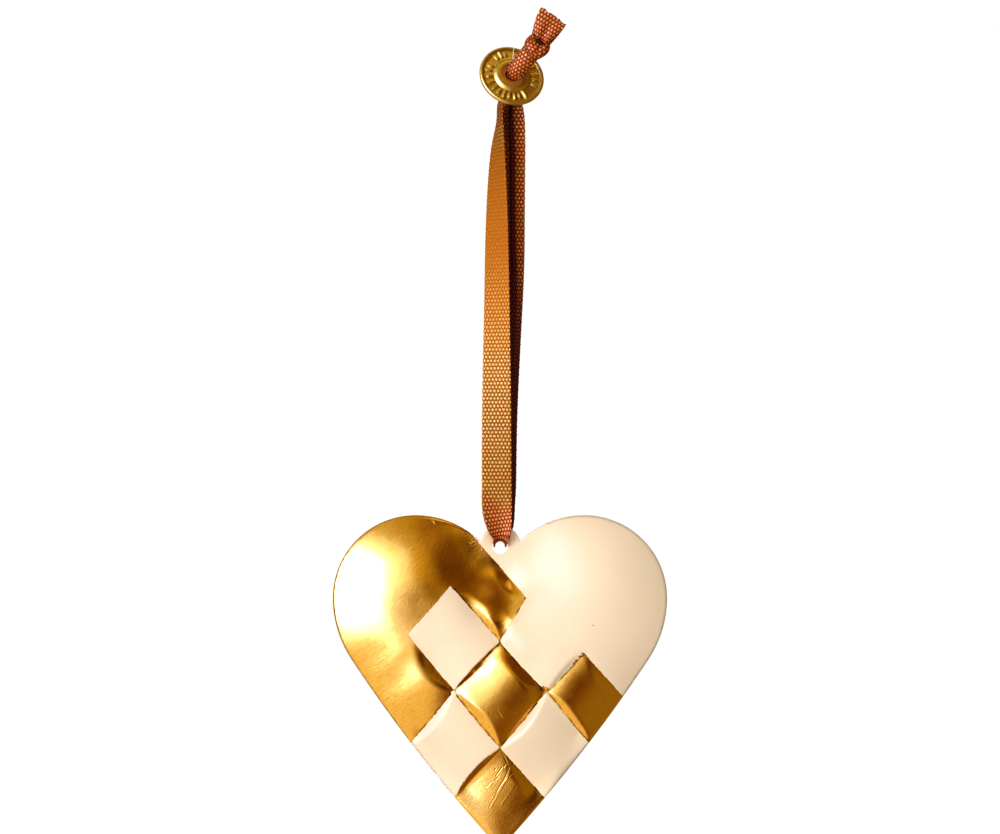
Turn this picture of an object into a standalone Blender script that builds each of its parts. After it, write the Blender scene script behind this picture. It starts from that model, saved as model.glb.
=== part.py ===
"""A braided heart ornament of pressed, painted sheet metal. It hangs from a ribbon, which is
looped through the heart's ear and knotted in front of a small brass disc.

Metres, +Z up, and the heart's front faces -Y. The origin is where the ornament hangs: in the top
of the ribbon's loop, just under the disc. The heart's own shapes are worked out from the middle of
its weave, as distances to the right (x) and up (z).
"""

import math

import bmesh
import bpy
import numpy as np
from mathutils import Matrix, Vector

MM = 0.001
CUTTER_DEPTH = 30 * MM

# The heart's outline: arcs about the middle of the weave
WEAVE_DROP = 138.3 * MM  # from the origin down to the middle of the weave
HEART_WIDTH = 78.8 * MM
LOBE_RADIUS = 19.5 * MM  # outer top quarter of each lobe
LOBE_RISE = 22.7 * MM  # the widest place, above the middle of the weave
INNER_RADIUS = 22 * MM  # inner top quarter, towards the ear
SHOULDER_RADIUS = 26 * MM  # below the widest place
SIDE_LEAN = math.radians(33.4)  # of the long side, where it leaves the shoulder
SIDE_RADIUS = 350 * MM
TIP_RADIUS = 2.2 * MM
EAR_RADIUS = 4.9 * MM
EAR_RISE = 34.9 * MM
HOLE_RADIUS = 1.9 * MM
HOLE_STEPS = 24
ARC_STEP = 1.6 * MM

# The pressed form
SHEET = 0.7 * MM
DOME_HEIGHT = 5.5 * MM
DOME_REACH = 19 * MM  # from the rim in to where the dome is level
RIDGE_BLEND = 7 * MM  # rounds the ridge between the two sides
EAR_FLAT = 2.6 * MM  # level land round the hole
EAR_SLOPE = 11 * MM  # where the dome has its full height again
RIM_BLEND = 4 * MM  # the weave grows to full depth over this distance from the rim
RIM_SHARE = 0.45  # the weave's share of its depth at the rim

# The weave: three gold strips run down to the right and three cream ones down to the left
STRIPS = 3
CHECK_HALF_WIDTH = 10.97 * MM
CHECK_HALF_HEIGHT = 12.51 * MM
WEAVE_DEPTH = 2 * MM  # a strip's crest above its ends
WALL = 0.12  # width of a strip's side wall under its crest, in checks
SOFT_EDGE = 0.2  # rounds the edge between a strip's top and its side walls
FADE = 0.6  # the weave grows to full depth over this many checks from the lobes
GOLD_FADE_START = 0.15
EAR_EDGE = 0.3  # the first gold strip is narrower: its upper edge under the ear, in checks
SIDE_EDGE = 0.2  # and the same edge at the heart's side
CREAM_EDGE = -0.06  # the first cream strip's painted upper edge
CELL = 0.1  # mesh cells in the weave, in checks
LOBE_CELL = 0.2
LOBE_REACH = 1.8  # the mesh goes this many checks past the weave, into the lobes

# The ribbon
RIBBON_WIDTH = 7 * MM
RIBBON_THICK = 0.4 * MM
NECK_WIDTH = 3.8 * MM  # both strands gathered in the disc's hole
NECK_THICK = 1.2 * MM

# The disc
DISC_RADIUS = 7.75 * MM
DISC_HOLE_RADIUS = 2.7 * MM
DISC_TILT = math.radians(30)  # of its face, away from straight ahead
DISC_TIP = math.radians(60)  # the tilt's direction, up from the right
DISC_PLACE = Vector((2.8, -2.7, 7.4)) * MM
DISC_STEPS = 40

GOLD = (0.62, 0.33, 0.05, 1)
CREAM = (0.95, 0.78, 0.60, 1)
BRASS = (0.42, 0.27, 0.07, 1)
COPPER = (0.55, 0.22, 0.06, 1)


def material(name, colour, roughness, metallic):
    """A plain painted, metal or cloth finish."""
    made = bpy.data.materials.new(name)
    made.use_nodes = True
    shader = made.node_tree.nodes["Principled BSDF"]
    shader.inputs["Base Color"].default_value = colour
    shader.inputs["Roughness"].default_value = roughness
    shader.inputs["Metallic"].default_value = metallic
    return made


def new_object(name, bm, *materials, smooth_angle=35):
    """An object from a bmesh, whose faces point outwards."""
    bmesh.ops.recalc_face_normals(bm, faces=bm.faces)
    mesh = bpy.data.meshes.new(name)
    bm.to_mesh(mesh)
    bm.free()
    for entry in materials:
        mesh.materials.append(entry)
    mesh.shade_smooth()
    mesh.set_sharp_from_angle(angle=math.radians(smooth_angle))
    made = bpy.data.objects.new(name, mesh)
    bpy.context.collection.objects.link(made)
    return made


def boolean(target, other, operation):
    """Cut or join a target with another shape, which is a guide and no part of the model."""
    modifier = target.modifiers.new(operation.title(), "BOOLEAN")
    modifier.operation = operation
    modifier.object = other
    other.hide_render = True
    other.display_type = "WIRE"


# ---- the heart -------------------------------------------------------------------------------


def arc(centre, radius, start, end):
    """Points along an arc from one angle to another, without the last one."""
    count = max(3, round(radius * abs(end - start) / ARC_STEP))
    angles = [start + (end - start) * i / count for i in range(count)]
    return [(centre[0] + radius * math.cos(a), centre[1] + radius * math.sin(a)) for a in angles]


def right_half():
    """The outline from the top of the ear round the right lobe to the tip."""
    lobe_x = HEART_WIDTH / 2 - LOBE_RADIUS
    inner_rise = LOBE_RISE + LOBE_RADIUS - INNER_RADIUS
    reach = math.hypot(lobe_x, EAR_RISE - inner_rise)
    towards_lobe = math.atan2(inner_rise - EAR_RISE, lobe_x)
    cosine = (reach**2 + EAR_RADIUS**2 - INNER_RADIUS**2) / (2 * reach * EAR_RADIUS)
    meet = towards_lobe + math.acos(cosine)
    meet_x = EAR_RADIUS * math.cos(meet)
    meet_z = EAR_RISE + EAR_RADIUS * math.sin(meet)
    inner_start = math.atan2(meet_z - inner_rise, meet_x - lobe_x)
    shoulder_x = HEART_WIDTH / 2 - SHOULDER_RADIUS
    side_x = shoulder_x - (SIDE_RADIUS - SHOULDER_RADIUS) * math.cos(SIDE_LEAN)
    side_z = LOBE_RISE + (SIDE_RADIUS - SHOULDER_RADIUS) * math.sin(SIDE_LEAN)
    tip_z = side_z - math.sqrt((SIDE_RADIUS - TIP_RADIUS) ** 2 - side_x**2)
    tip_turn = math.atan2(tip_z - side_z, -side_x)
    return (
        arc((0, EAR_RISE), EAR_RADIUS, math.pi / 2, meet)
        + arc((lobe_x, inner_rise), INNER_RADIUS, inner_start, math.pi / 2)
        + arc((lobe_x, LOBE_RISE), LOBE_RADIUS, math.pi / 2, 0)
        + arc((shoulder_x, LOBE_RISE), SHOULDER_RADIUS, 0, -SIDE_LEAN)
        + arc((side_x, side_z), SIDE_RADIUS, -SIDE_LEAN, tip_turn)
        + arc((0, tip_z), TIP_RADIUS, tip_turn, -math.pi / 2)
        + [(0, tip_z - TIP_RADIUS)]
    )


def whole_outline():
    """The closed outline, clockwise from the top of the ear."""
    half = right_half()
    return half + [(-x, z) for x, z in reversed(half[1:-1])]


def distance_to(line, x, z):
    """Distance from each point to a line through the given points."""
    start = np.array(line[:-1])
    step = np.array(line[1:]) - start
    nearest = np.full(x.shape, np.inf)
    for (px, pz), (sx, sz) in zip(start, step):
        along = np.clip(((x - px) * sx + (z - pz) * sz) / (sx * sx + sz * sz), 0, 1)
        nearest = np.minimum(nearest, np.hypot(x - px - along * sx, z - pz - along * sz))
    return nearest


def inside(loop, x, z):
    """Whether each point is inside a closed loop."""
    found = np.zeros(x.shape, bool)
    for (ax, az), (bx, bz) in zip(loop, loop[1:] + loop[:1]):
        if az != bz:
            crosses = (az > z) != (bz > z)
            found ^= crosses & (x < ax + (z - az) * (bx - ax) / (bz - az))
    return found


def ease(t):
    """A smooth step from 0 to 1."""
    t = np.clip(t, 0, 1)
    return t * t * (3 - 2 * t)


def from_rim(x, z):
    """Distance in from the rim, below zero outside, rounded where the two sides are as near."""
    half = right_half()
    right = distance_to(half, x, z)
    left = distance_to(half, -x, z)
    near = np.maximum(RIDGE_BLEND - np.abs(right - left), 0) / RIDGE_BLEND
    blended = np.minimum(right, left) - near**2 * RIDGE_BLEND / 4
    rounding = ease(np.minimum(right, left) / RIDGE_BLEND)
    distance = np.minimum(right, left) * (1 - rounding) + blended * rounding
    return np.where(inside(whole_outline(), x, z), distance, -np.minimum(right, left))


def strips_at(x, z):
    """Strip numbers of a point: whole numbers are the edges of gold and of cream strips."""
    gold = STRIPS / 2 + (-z / CHECK_HALF_HEIGHT - x / CHECK_HALF_WIDTH) / 2
    cream = STRIPS / 2 + (-z / CHECK_HALF_HEIGHT + x / CHECK_HALF_WIDTH) / 2
    return gold, cream


def place_of(gold, cream):
    """The point with these strip numbers."""
    x = (cream - gold) * CHECK_HALF_WIDTH
    z = -(gold + cream - STRIPS) * CHECK_HALF_HEIGHT
    return x, z


def checks_at(gold, cream):
    """For each point, its check and whether gold lies over cream there."""
    gold_row = np.clip(np.floor(gold), 0, STRIPS - 1)
    cream_row = np.clip(np.floor(cream), 0, STRIPS - 1)
    return gold_row, cream_row, (gold_row + cream_row) % 2 == 0


def relief(x, z):
    """How far the pressed face stands in front of the rim."""
    depth_in = from_rim(x, z)
    level = 1 - (1 - np.minimum(depth_in / DOME_REACH, 1)) ** 2
    from_hole = np.hypot(x, z - EAR_RISE)
    dome = DOME_HEIGHT * level * ease((from_hole - EAR_FLAT) / (EAR_SLOPE - EAR_FLAT))

    gold, cream = strips_at(x, z)
    gold_row, cream_row, gold_over = checks_at(gold, cream)
    along = np.where(gold_over, cream - cream_row, gold - gold_row)
    across = np.where(gold_over, gold - gold_row, cream - cream_row)
    first_edge = np.where(cream_row == 0, EAR_EDGE, SIDE_EDGE)
    lower = np.where(gold_over & (gold_row == 0), first_edge, 0)
    crest = np.clip(1 - (2 * along - 1) ** 2, 0, 1)
    wall = np.clip(np.minimum(across - lower, 1 - across) / WALL, 0, 2)
    rounded = np.maximum(SOFT_EDGE - np.abs(crest - wall), 0) ** 2 / SOFT_EDGE / 4
    cover = np.clip(np.minimum(crest, wall) - rounded, 0, 1)
    grown = ease(cream / FADE) * ease((gold - GOLD_FADE_START) / FADE)
    grown *= RIM_SHARE + (1 - RIM_SHARE) * ease(depth_in / RIM_BLEND)
    return dome - WEAVE_DEPTH * grown * (1 - cover)


def is_gold(gold, cream):
    """Whether a point of the face is painted gold."""
    gold_row, cream_row, gold_over = checks_at(gold, cream)
    upper_edge = np.where(cream < 1, EAR_EDGE, SIDE_EDGE)
    in_weave = gold_over & (gold > np.where(gold_row == 0, upper_edge, 0))
    return np.where(cream < CREAM_EDGE, gold > EAR_EDGE, in_weave & (gold > 0))


def mesh_lines():
    """Strip numbers of the mesh's lines: wide cells in the lobes and fine ones in the weave."""
    lobe = np.arange(-LOBE_REACH, -LOBE_CELL / 2, LOBE_CELL)
    weave = np.arange(0, STRIPS + 1.5 * CELL, CELL)
    return np.concatenate([lobe, weave])


def make_outline_cutter():
    """A prism of the heart's outline, which trims the pressed sheet."""
    bm = bmesh.new()
    ring = [bm.verts.new((x, -CUTTER_DEPTH, z - WEAVE_DROP)) for x, z in whole_outline()]
    made = bmesh.ops.extrude_face_region(bm, geom=[bm.faces.new(ring)])
    moved = [item for item in made["geom"] if isinstance(item, bmesh.types.BMVert)]
    bmesh.ops.translate(bm, verts=moved, vec=(0, 2 * CUTTER_DEPTH, 0))
    return new_object("outline_cutter", bm)


def make_hole_cutter():
    """A round punch for the ear's hole."""
    bm = bmesh.new()
    turn = Matrix.Rotation(math.pi / 2, 4, "X")
    place = Matrix.Translation((0, 0, EAR_RISE - WEAVE_DROP))
    bmesh.ops.create_cone(
        bm,
        cap_ends=True,
        segments=HOLE_STEPS,
        radius1=HOLE_RADIUS,
        radius2=HOLE_RADIUS,
        depth=CUTTER_DEPTH,
        matrix=place @ turn,
    )
    return new_object("hole_cutter", bm)


def make_heart(gold_paint, cream_paint):
    """The pressed sheet: a grid along the weave, raised, thickened, trimmed and punched."""
    lines = mesh_lines()
    last = len(lines) - 1
    bm = bmesh.new()
    bmesh.ops.create_grid(bm, x_segments=last, y_segments=last, size=1)
    bm.verts.ensure_lookup_table()
    column = np.array([v.co.x for v in bm.verts])
    row = np.array([v.co.y for v in bm.verts])
    gold = lines[np.rint((column + 1) / 2 * last).astype(int)]
    cream = lines[np.rint((row + 1) / 2 * last).astype(int)]
    x, z = place_of(gold, cream)
    y = -SHEET / 2 - relief(x, z)
    for vert, place in zip(bm.verts, zip(x, y, z - WEAVE_DROP)):
        vert.co = place
    for face in bm.faces:
        middle = face.calc_center_median()
        painted = is_gold(*strips_at(np.array(middle.x), np.array(middle.z + WEAVE_DROP)))
        face.material_index = 0 if painted else 1
    made = bmesh.ops.extrude_face_region(bm, geom=list(bm.faces))
    back = [item for item in made["geom"] if isinstance(item, bmesh.types.BMVert)]
    bmesh.ops.translate(bm, verts=back, vec=(0, SHEET, 0))
    for item in made["geom"]:
        if isinstance(item, bmesh.types.BMFace):
            item.material_index = 1
    heart = new_object("heart", bm, gold_paint, cream_paint)
    boolean(heart, make_outline_cutter(), "INTERSECT")
    boolean(heart, make_hole_cutter(), "DIFFERENCE")
    return heart


# ---- the ribbon ------------------------------------------------------------------------------

# Each row: x, y, z in mm, the turn of the ribbon's face to the left in degrees, its width in mm,
# and how far its edges curl round, in degrees. Down the front, through the ear and up the back.
HOLE_Z = (EAR_RISE - WEAVE_DROP) / MM
TURN_UNDER = HOLE_Z + (HOLE_RADIUS - RIBBON_THICK / 2) / MM - 0.35
LOOP_ROUTE = [
    (2.1, 2.3, 4.2, 62, 4.2, 0),
    (1.0, 1.5, 2.6, 72, 5.4, 0),
    (0.2, 0.8, 0.6, 78, 6.6, 0),
    (-0.1, 0.3, -3.1, 76, 7, 0),
    (-0.6, -0.3, -10.1, 58, 7, 0),
    (-0.7, -0.9, -20, 47, 7, 0),
    (-0.7, -1.2, -31.9, 40, 7, 0),
    (-0.7, -1.5, -50, 30, 7, 0),
    (-0.8, -1.7, -70, 15, 7, 0),
    (-0.8, -1.8, -87.8, 3, 7, 0),
    (-0.7, -1.8, -94.5, 0, 7, 10),
    (-0.2, -1.7, -98.3, 0, 6.2, 30),
    (0.2, -1.45, -100.6, 0, 5.4, 60),
    (0.1, -1.0, TURN_UNDER + 0.5, 0, 4.8, 90),
    (0, 0, TURN_UNDER, 0, 4.7, 100),
    (0, 1.0, TURN_UNDER + 0.5, 0, 4.8, 90),
    (0, 1.45, -100.6, 0, 5.4, 60),
    (0, 1.7, -98.3, 0, 6.2, 30),
    (-0.1, 1.8, -94.5, 4, 7, 10),
    (-0.1, 1.8, -87.8, 8, 7, 0),
    (0.8, 1.9, -70, 20, 7, 0),
    (1.5, 2.1, -50, 30, 7, 0),
    (2.3, 2.5, -31.9, 36, 7, 0),
    (2.5, 2.8, -20, 38, 7, 0),
    (2.6, 3.1, -10.1, 38, 7, 0),
    (2.6, 3.4, -3.1, 38, 7, 0),
    (2.6, 3.6, 0.6, 42, 6.6, 0),
    (2.6, 3.4, 2.9, 52, 5.4, 0),
    (2.5, 2.8, 4.4, 60, 4.2, 0),
]
# Both strands gathered: up behind the disc, through its hole and into the knot. x, y, z in mm.
NECK_ROUTE = [
    (2.3, 3.3, 3.0),
    (2.4, 1.9, 4.3),
    (2.5, -0.4, 5.8),
    (2.9, -2.8, 7.5),
    (4.4, -5.1, 9.6),
    (6.5, -6.2, 12.0),
    (8.9, -6.5, 14.6),
]
NECK_SIDE = Vector((0.75, 0, -0.66))  # the gathered ribbon's width lies this way
KNOT_PLACE = Vector((8.7, -6.4, 14.2)) * MM
TAIL_END = Vector((12.7, -6.9, 21.0)) * MM
BACK_TAIL_END = Vector((12.2, -4.9, 20.4)) * MM
TAIL_SIDE = Vector((0.79, 0, -0.62))
TAIL_ROOT_WIDTH = 4.4 * MM
TAIL_RINGS = 5
TAIL_FAN = 1.35  # the tail has its full width before its end
CORE_RADIUS = 2.3 * MM
CORE_SHIFT = 0.1  # of the way along the tail
WRAP_HALF_WIDTH = 1.7 * MM
WRAP_HALF_THICK = 0.75 * MM
WRAP_FLATNESS = 0.72  # a wrap's depth by its width
WRAP_AROUND = 20
WRAP_PROFILE = 8
ACROSS = 4  # mesh cells across the ribbon
LEAST_CURL = math.radians(0.5)
STEPS_BETWEEN = 2  # mesh rings between two places of the route


def smooth_through(rows, steps):
    """A smooth (Catmull-Rom) run of rows through the given rows."""
    rows = [np.array(row, float) for row in rows]
    ends = [2 * rows[0] - rows[1]] + rows + [2 * rows[-1] - rows[-2]]
    run = []
    for before, here, there, after in zip(ends, ends[1:], ends[2:], ends[3:]):
        for t in np.arange(steps) / steps:
            pull = (there - before) * t + (2 * before - 5 * here + 4 * there - after) * t**2
            pull += (3 * here - before - 3 * there + after) * t**3
            run.append(here + pull / 2)
    return run + [rows[-1]]


def section(width, thick, curl):
    """Points round a strip's cross-section, as distances to its side and out of its face.

    The strip's edges curl out of its face, each by the given angle.
    """
    curl = max(curl, LEAST_CURL)
    radius = width / 2 / curl
    rows = []
    for reach in (radius - thick / 2, radius + thick / 2):
        angles = [curl * (2 * i / ACROSS - 1) for i in range(ACROSS + 1)]
        rows.append([(reach * math.sin(a), radius - reach * math.cos(a)) for a in angles])
    return rows[0] + rows[1][::-1]


def strip(name, places, sides, widths, thick, curls, *materials):
    """A closed strip swept along its places. Each side vector gives the way of its width."""
    bm = bmesh.new()
    rings = []
    for i, place in enumerate(places):
        heading = (places[min(i + 1, len(places) - 1)] - places[max(i - 1, 0)]).normalized()
        side = sides[i] - heading * sides[i].dot(heading)
        side.normalize()
        out = heading.cross(side)
        points = section(widths[i], thick, curls[i])
        rings.append([bm.verts.new(place + side * s + out * o) for s, o in points])
    for ring, following in zip(rings, rings[1:]):
        for j in range(len(ring)):
            k = (j + 1) % len(ring)
            bm.faces.new((ring[j], ring[k], following[k], following[j]))
    bm.faces.new(rings[0])
    bm.faces.new(rings[-1])
    return new_object(name, bm, *materials)


def make_loop(cloth):
    """The ribbon's two strands, as one strip through the ear's hole."""
    rows = smooth_through(LOOP_ROUTE, STEPS_BETWEEN)
    places = [Vector(row[:3]) * MM for row in rows]
    turns = [math.radians(row[3]) for row in rows]
    sides = [Vector((math.cos(turn), -math.sin(turn), 0)) for turn in turns]
    widths = [row[4] * MM for row in rows]
    curls = [math.radians(row[5]) for row in rows]
    return strip("ribbon", places, sides, widths, RIBBON_THICK, curls, cloth)


def make_neck():
    """Both strands gathered, from behind the disc to the knot."""
    places = [Vector(row) * MM for row in smooth_through(NECK_ROUTE, STEPS_BETWEEN)]
    count = len(places)
    return strip("neck", places, [NECK_SIDE] * count, [NECK_WIDTH] * count, NECK_THICK, [0] * count)


def make_tail(name, end):
    """One end of the ribbon, which fans out from the knot."""
    shares = [i / (TAIL_RINGS - 1) for i in range(TAIL_RINGS)]
    places = [KNOT_PLACE.lerp(end, share) for share in shares]
    grown = [min(1, TAIL_FAN * share) for share in shares]
    widths = [TAIL_ROOT_WIDTH + (RIBBON_WIDTH - TAIL_ROOT_WIDTH) * g for g in grown]
    sides = [TAIL_SIDE] * TAIL_RINGS
    return strip(name, places, sides, widths, RIBBON_THICK, [0] * TAIL_RINGS)


def make_wrap(name, lean, offset, radius):
    """One turn of the knot: a flat ring round the gathered ribbon."""
    bm = bmesh.new()
    rings = []
    for i in range(WRAP_AROUND):
        turn = 2 * math.pi * i / WRAP_AROUND
        spoke = Vector((math.cos(turn), WRAP_FLATNESS * math.sin(turn), 0))
        ring = []
        for j in range(WRAP_PROFILE):
            angle = 2 * math.pi * j / WRAP_PROFILE
            reach = radius + WRAP_HALF_THICK * math.cos(angle)
            height = Vector((0, 0, WRAP_HALF_WIDTH * math.sin(angle)))
            ring.append(bm.verts.new(spoke * reach + height))
        rings.append(ring)
    for ring, following in zip(rings, rings[1:] + rings[:1]):
        for j in range(WRAP_PROFILE):
            k = (j + 1) % WRAP_PROFILE
            bm.faces.new((ring[j], ring[k], following[k], following[j]))
    up_the_neck = (TAIL_END - DISC_PLACE).normalized().to_track_quat("Z", "Y").to_matrix().to_4x4()
    turned = up_the_neck @ Matrix.Rotation(lean, 4, "Y") @ Matrix.Translation((0, 0, offset))
    bmesh.ops.transform(bm, matrix=Matrix.Translation(KNOT_PLACE) @ turned, verts=bm.verts)
    return new_object(name, bm)


def make_core():
    """The middle of the knot, under its wraps."""
    bm = bmesh.new()
    place = Matrix.Translation(KNOT_PLACE.lerp(TAIL_END, CORE_SHIFT))
    bmesh.ops.create_icosphere(bm, subdivisions=2, radius=CORE_RADIUS, matrix=place)
    return new_object("knot_core", bm)


def make_ribbon(cloth):
    """The whole ribbon as one solid: loop, gathered neck, knot and two tails."""
    ribbon = make_loop(cloth)
    boolean(ribbon, make_neck(), "UNION")
    boolean(ribbon, make_core(), "UNION")
    boolean(ribbon, make_wrap("first_wrap", math.radians(22), -0.5 * MM, 2.4 * MM), "UNION")
    boolean(ribbon, make_wrap("second_wrap", math.radians(-30), 0.6 * MM, 2.1 * MM), "UNION")
    boolean(ribbon, make_tail("front_tail", TAIL_END), "UNION")
    boolean(ribbon, make_tail("back_tail", BACK_TAIL_END), "UNION")
    return ribbon


# ---- the disc --------------------------------------------------------------------------------

# The disc's turned profile in mm: radius, and height along its axis towards the front
DISC_PROFILE = [
    (DISC_HOLE_RADIUS / MM, -0.1),
    (DISC_HOLE_RADIUS / MM + 0.15, 0.75),
    (3.6, 0.8),
    (4.1, 0.6),
    (4.4, 0.15),
    (6.7, -0.05),
    (7.0, 0.25),
    (7.4, 0.35),
    (DISC_RADIUS / MM, 0.05),
    (DISC_RADIUS / MM, -0.5),
    (7.4, -0.75),
    (4.4, -0.6),
    (3.6, -0.1),
]


def disc_matrix():
    """Places the disc and tips its front, local +Z, forward, up and to the right."""
    front = Vector(
        (
            math.sin(DISC_TILT) * math.cos(DISC_TIP),
            -math.cos(DISC_TILT),
            math.sin(DISC_TILT) * math.sin(DISC_TIP),
        )
    )
    return Matrix.Translation(DISC_PLACE) @ front.to_track_quat("Z", "Y").to_matrix().to_4x4()


def make_disc(brass):
    """The stamped disc: a turned profile round its centre hole."""
    bm = bmesh.new()
    ring = [bm.verts.new((radius * MM, 0, height * MM)) for radius, height in DISC_PROFILE]
    edges = [bm.edges.new(pair) for pair in zip(ring, ring[1:] + ring[:1])]
    bmesh.ops.spin(
        bm,
        geom=ring + edges,
        cent=(0, 0, 0),
        axis=(0, 0, 1),
        angle=2 * math.pi,
        steps=DISC_STEPS,
        use_merge=True,
    )
    disc = new_object("disc", bm, brass)
    disc.matrix_world = disc_matrix()
    return disc


def main():
    for old in list(bpy.data.objects):
        bpy.data.objects.remove(old)
    make_heart(
        material("gold paint", GOLD, 0.35, 1),
        material("cream enamel", CREAM, 0.4, 0),
    )
    make_ribbon(material("copper ribbon", COPPER, 0.7, 0))
    make_disc(material("brass", BRASS, 0.35, 1))


main()
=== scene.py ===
"""Dresses the braided heart ornament: its painted sheet, its woven ribbon and its stamped disc.

Metres, +Z up, and the heart's front faces -Y. The origin is in the top of the ribbon's loop, just
under the disc. The heart's shapes are worked out from the middle of its weave, as distances to the
right (x) and up (z).
"""

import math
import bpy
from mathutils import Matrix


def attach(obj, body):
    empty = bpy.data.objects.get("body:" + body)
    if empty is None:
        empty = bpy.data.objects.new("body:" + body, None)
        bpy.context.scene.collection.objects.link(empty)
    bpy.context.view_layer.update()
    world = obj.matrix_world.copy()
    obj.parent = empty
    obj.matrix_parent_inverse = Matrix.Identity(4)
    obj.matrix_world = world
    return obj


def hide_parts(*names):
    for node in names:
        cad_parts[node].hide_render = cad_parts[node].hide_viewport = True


bl_info = {
    "name": "Braided Heart Ornament",
    "version": (1, 0, 0),
    "blender": (4, 5, 0),
    "location": "View3D > Sidebar > Ornament",
    "description": "Models and finishes a woven heart of painted sheet on a ribbon loop",
    "category": "Object",
}

import bpy
import numpy as np
from bpy.props import FloatProperty, FloatVectorProperty, PointerProperty
from bpy.types import Operator, Panel, PropertyGroup
from mathutils import Matrix, Vector

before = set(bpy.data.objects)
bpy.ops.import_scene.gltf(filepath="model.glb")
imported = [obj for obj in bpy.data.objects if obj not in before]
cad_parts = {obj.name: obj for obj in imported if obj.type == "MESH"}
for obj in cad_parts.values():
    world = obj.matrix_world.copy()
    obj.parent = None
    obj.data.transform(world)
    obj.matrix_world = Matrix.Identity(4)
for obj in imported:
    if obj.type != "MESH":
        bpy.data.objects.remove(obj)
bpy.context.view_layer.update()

MM = 0.001

# The heart's outline: arcs about the middle of the weave
WEAVE_DROP = 138.3 * MM  # from the origin down to the middle of the weave
HEART_WIDTH = 78.8 * MM
LOBE_RADIUS = 19.5 * MM  # outer top quarter of each lobe
LOBE_RISE = 22.7 * MM  # the widest place, above the middle of the weave
INNER_RADIUS = 22 * MM  # inner top quarter, towards the ear
SHOULDER_RADIUS = 26 * MM  # below the widest place
SIDE_LEAN = math.radians(33.4)  # of the long side, where it leaves the shoulder
SIDE_RADIUS = 350 * MM
TIP_RADIUS = 2.2 * MM
EAR_RADIUS = 4.9 * MM
EAR_RISE = 34.9 * MM
HOLE_RADIUS = 1.9 * MM
ARC_STEP = 0.4 * MM

# The pressed form
SHEET = 0.7 * MM
DOME_REACH = 19 * MM  # from the rim in to where the dome is level
RIDGE_BLEND = 7 * MM  # rounds the ridge between the two sides
EAR_FLAT = 3.2 * MM  # level land round the hole
EAR_SPREAD = 9 * MM  # how far on the dome grows back, about two thirds of the way
EAR_WIDER = 3 * MM  # and this much farther on the right
TIP_FLAT = 0.75  # the dome is this much lower at the tip
TIP_FROM = 2 * MM  # from this far below the middle of the weave
TIP_OVER = 27 * MM
RIM_BLEND = 4 * MM  # the weave grows to full depth over this distance from the rim
RIM_SHARE = 0.45  # the weave's share of its depth at the rim
RIM_ROUND = 0.5 * MM  # the front's edge is rounded off over this width
RIM_DROP = 0.2 * MM

# The weave: three gold strips run down to the right and three cream ones down to the left
STRIPS = 3
CHECK_HALF_WIDTH = 10.97 * MM
CHECK_HALF_HEIGHT = 12.51 * MM
# Widths of the side walls under a strip's crest, in checks: a row for each gold strip. The near
# wall is at the upper side of the strip that lies on top, and the far wall at its lower side.
NEAR_WALLS = ((0.12, 0.11, 0.12), (0.12, 0.14, 0.10), (0.17, 0.10, 0.14))
FAR_WALLS = ((0.14, 0.08, 0.11), (0.04, 0.13, 0.12), (0.12, 0.08, 0.12))
# The weave's share of its depth in the middle of each check, and evenly between them
DEPTHS = ((1.0, 0.6, 0.35), (0.8, 1.0, 1.0), (0.7, 0.6, 0.2))
EVEN_WALLS = ((1, 1), (2, 2))  # checks of gold whose near wall is as wide at its ends
SMOOTH_ENDS = ((2, 2),)  # checks whose strip comes out level from under its neighbours
GILDED_WALLS = ((1, 0), (2, 1))  # checks of cream whose far wall is painted gold
SEAM = 0.04  # the darker line along the gold's seams is this wide
GILDED_END = 0.09  # gold runs this far into the end of the first cream strip's top check
GILDED_LEAN = 0.06  # and less by this much a check
GILDED_REACH = 1.03  # it is painted up to this cream strips' number
GILDED_UNTIL = 1.3  # and bent until this one
SOFT_EDGE = 0.35  # rounds the edge between a strip's top and its side walls
FADE = 0.6  # the weave grows to full depth over this many checks from the cream strips' start
GOLD_FADE = 0.45  # and over this many from the gold strips' start
GOLD_FADE_START = 0.05
END_SKEW = 0.13  # the first gold strip's end is cut askew by this many checks
END_FLUSH = 0.35  # and bent up to the cream strip, but for this much of its lower side
END_SHARE = 1.25  # by this much of the way up
FLUSH_UNTIL = 1.6  # up to this cream strips' number
FADES_OVER = 0.3  # both bends fade out over this many checks
CROSSING_LIFT = 0.75 * MM  # the two side crossings are this much higher than evenly spaced
CROSSING_REACH = 6 * MM
EAR_EDGE = 0.3  # the first gold strip is narrower: its upper edge under the ear, in checks
SIDE_EDGE = 0.2  # and the same edge at the heart's side
CREAM_EDGE = -0.06  # the first cream strip's painted upper edge

# The ribbon's cloth: warp threads along it, which show as rows of dots between the ribs
RIBBON_THICK = 0.4 * MM
WARP_PITCH = 0.43 * MM
ROW_PITCH = 0.887 * MM
CELL_LENGTH = ROW_PITCH / 4
CELLS_A_THREAD = 2
BEAD_WIDE = 0.85  # half the width of a bead, in threads
BEAD_LONG = 0.46  # and half its length, in rows
BEAD_LIFT = 0.06 * MM
EDGE_START = 0.9  # the woven edge, from here to 1, is thinner and waves in and out by these shares
EDGE_THINNER = 0.35
EDGE_SCALLOP = 0.018
FOLD_AT = 0.15  # where a fold runs along the ribbon: 0 is its middle and 1 its edge
FOLD_REACH = 0.3

# The disc
DISC_TILT = math.radians(30)  # of its face, away from straight ahead
DISC_TIP = math.radians(60)  # the tilt's direction, up from the right
DISC_PLACE = Vector((2.8, -2.7, 7.4)) * MM


# ---- mesh tools ------------------------------------------------------------------------------


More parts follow.
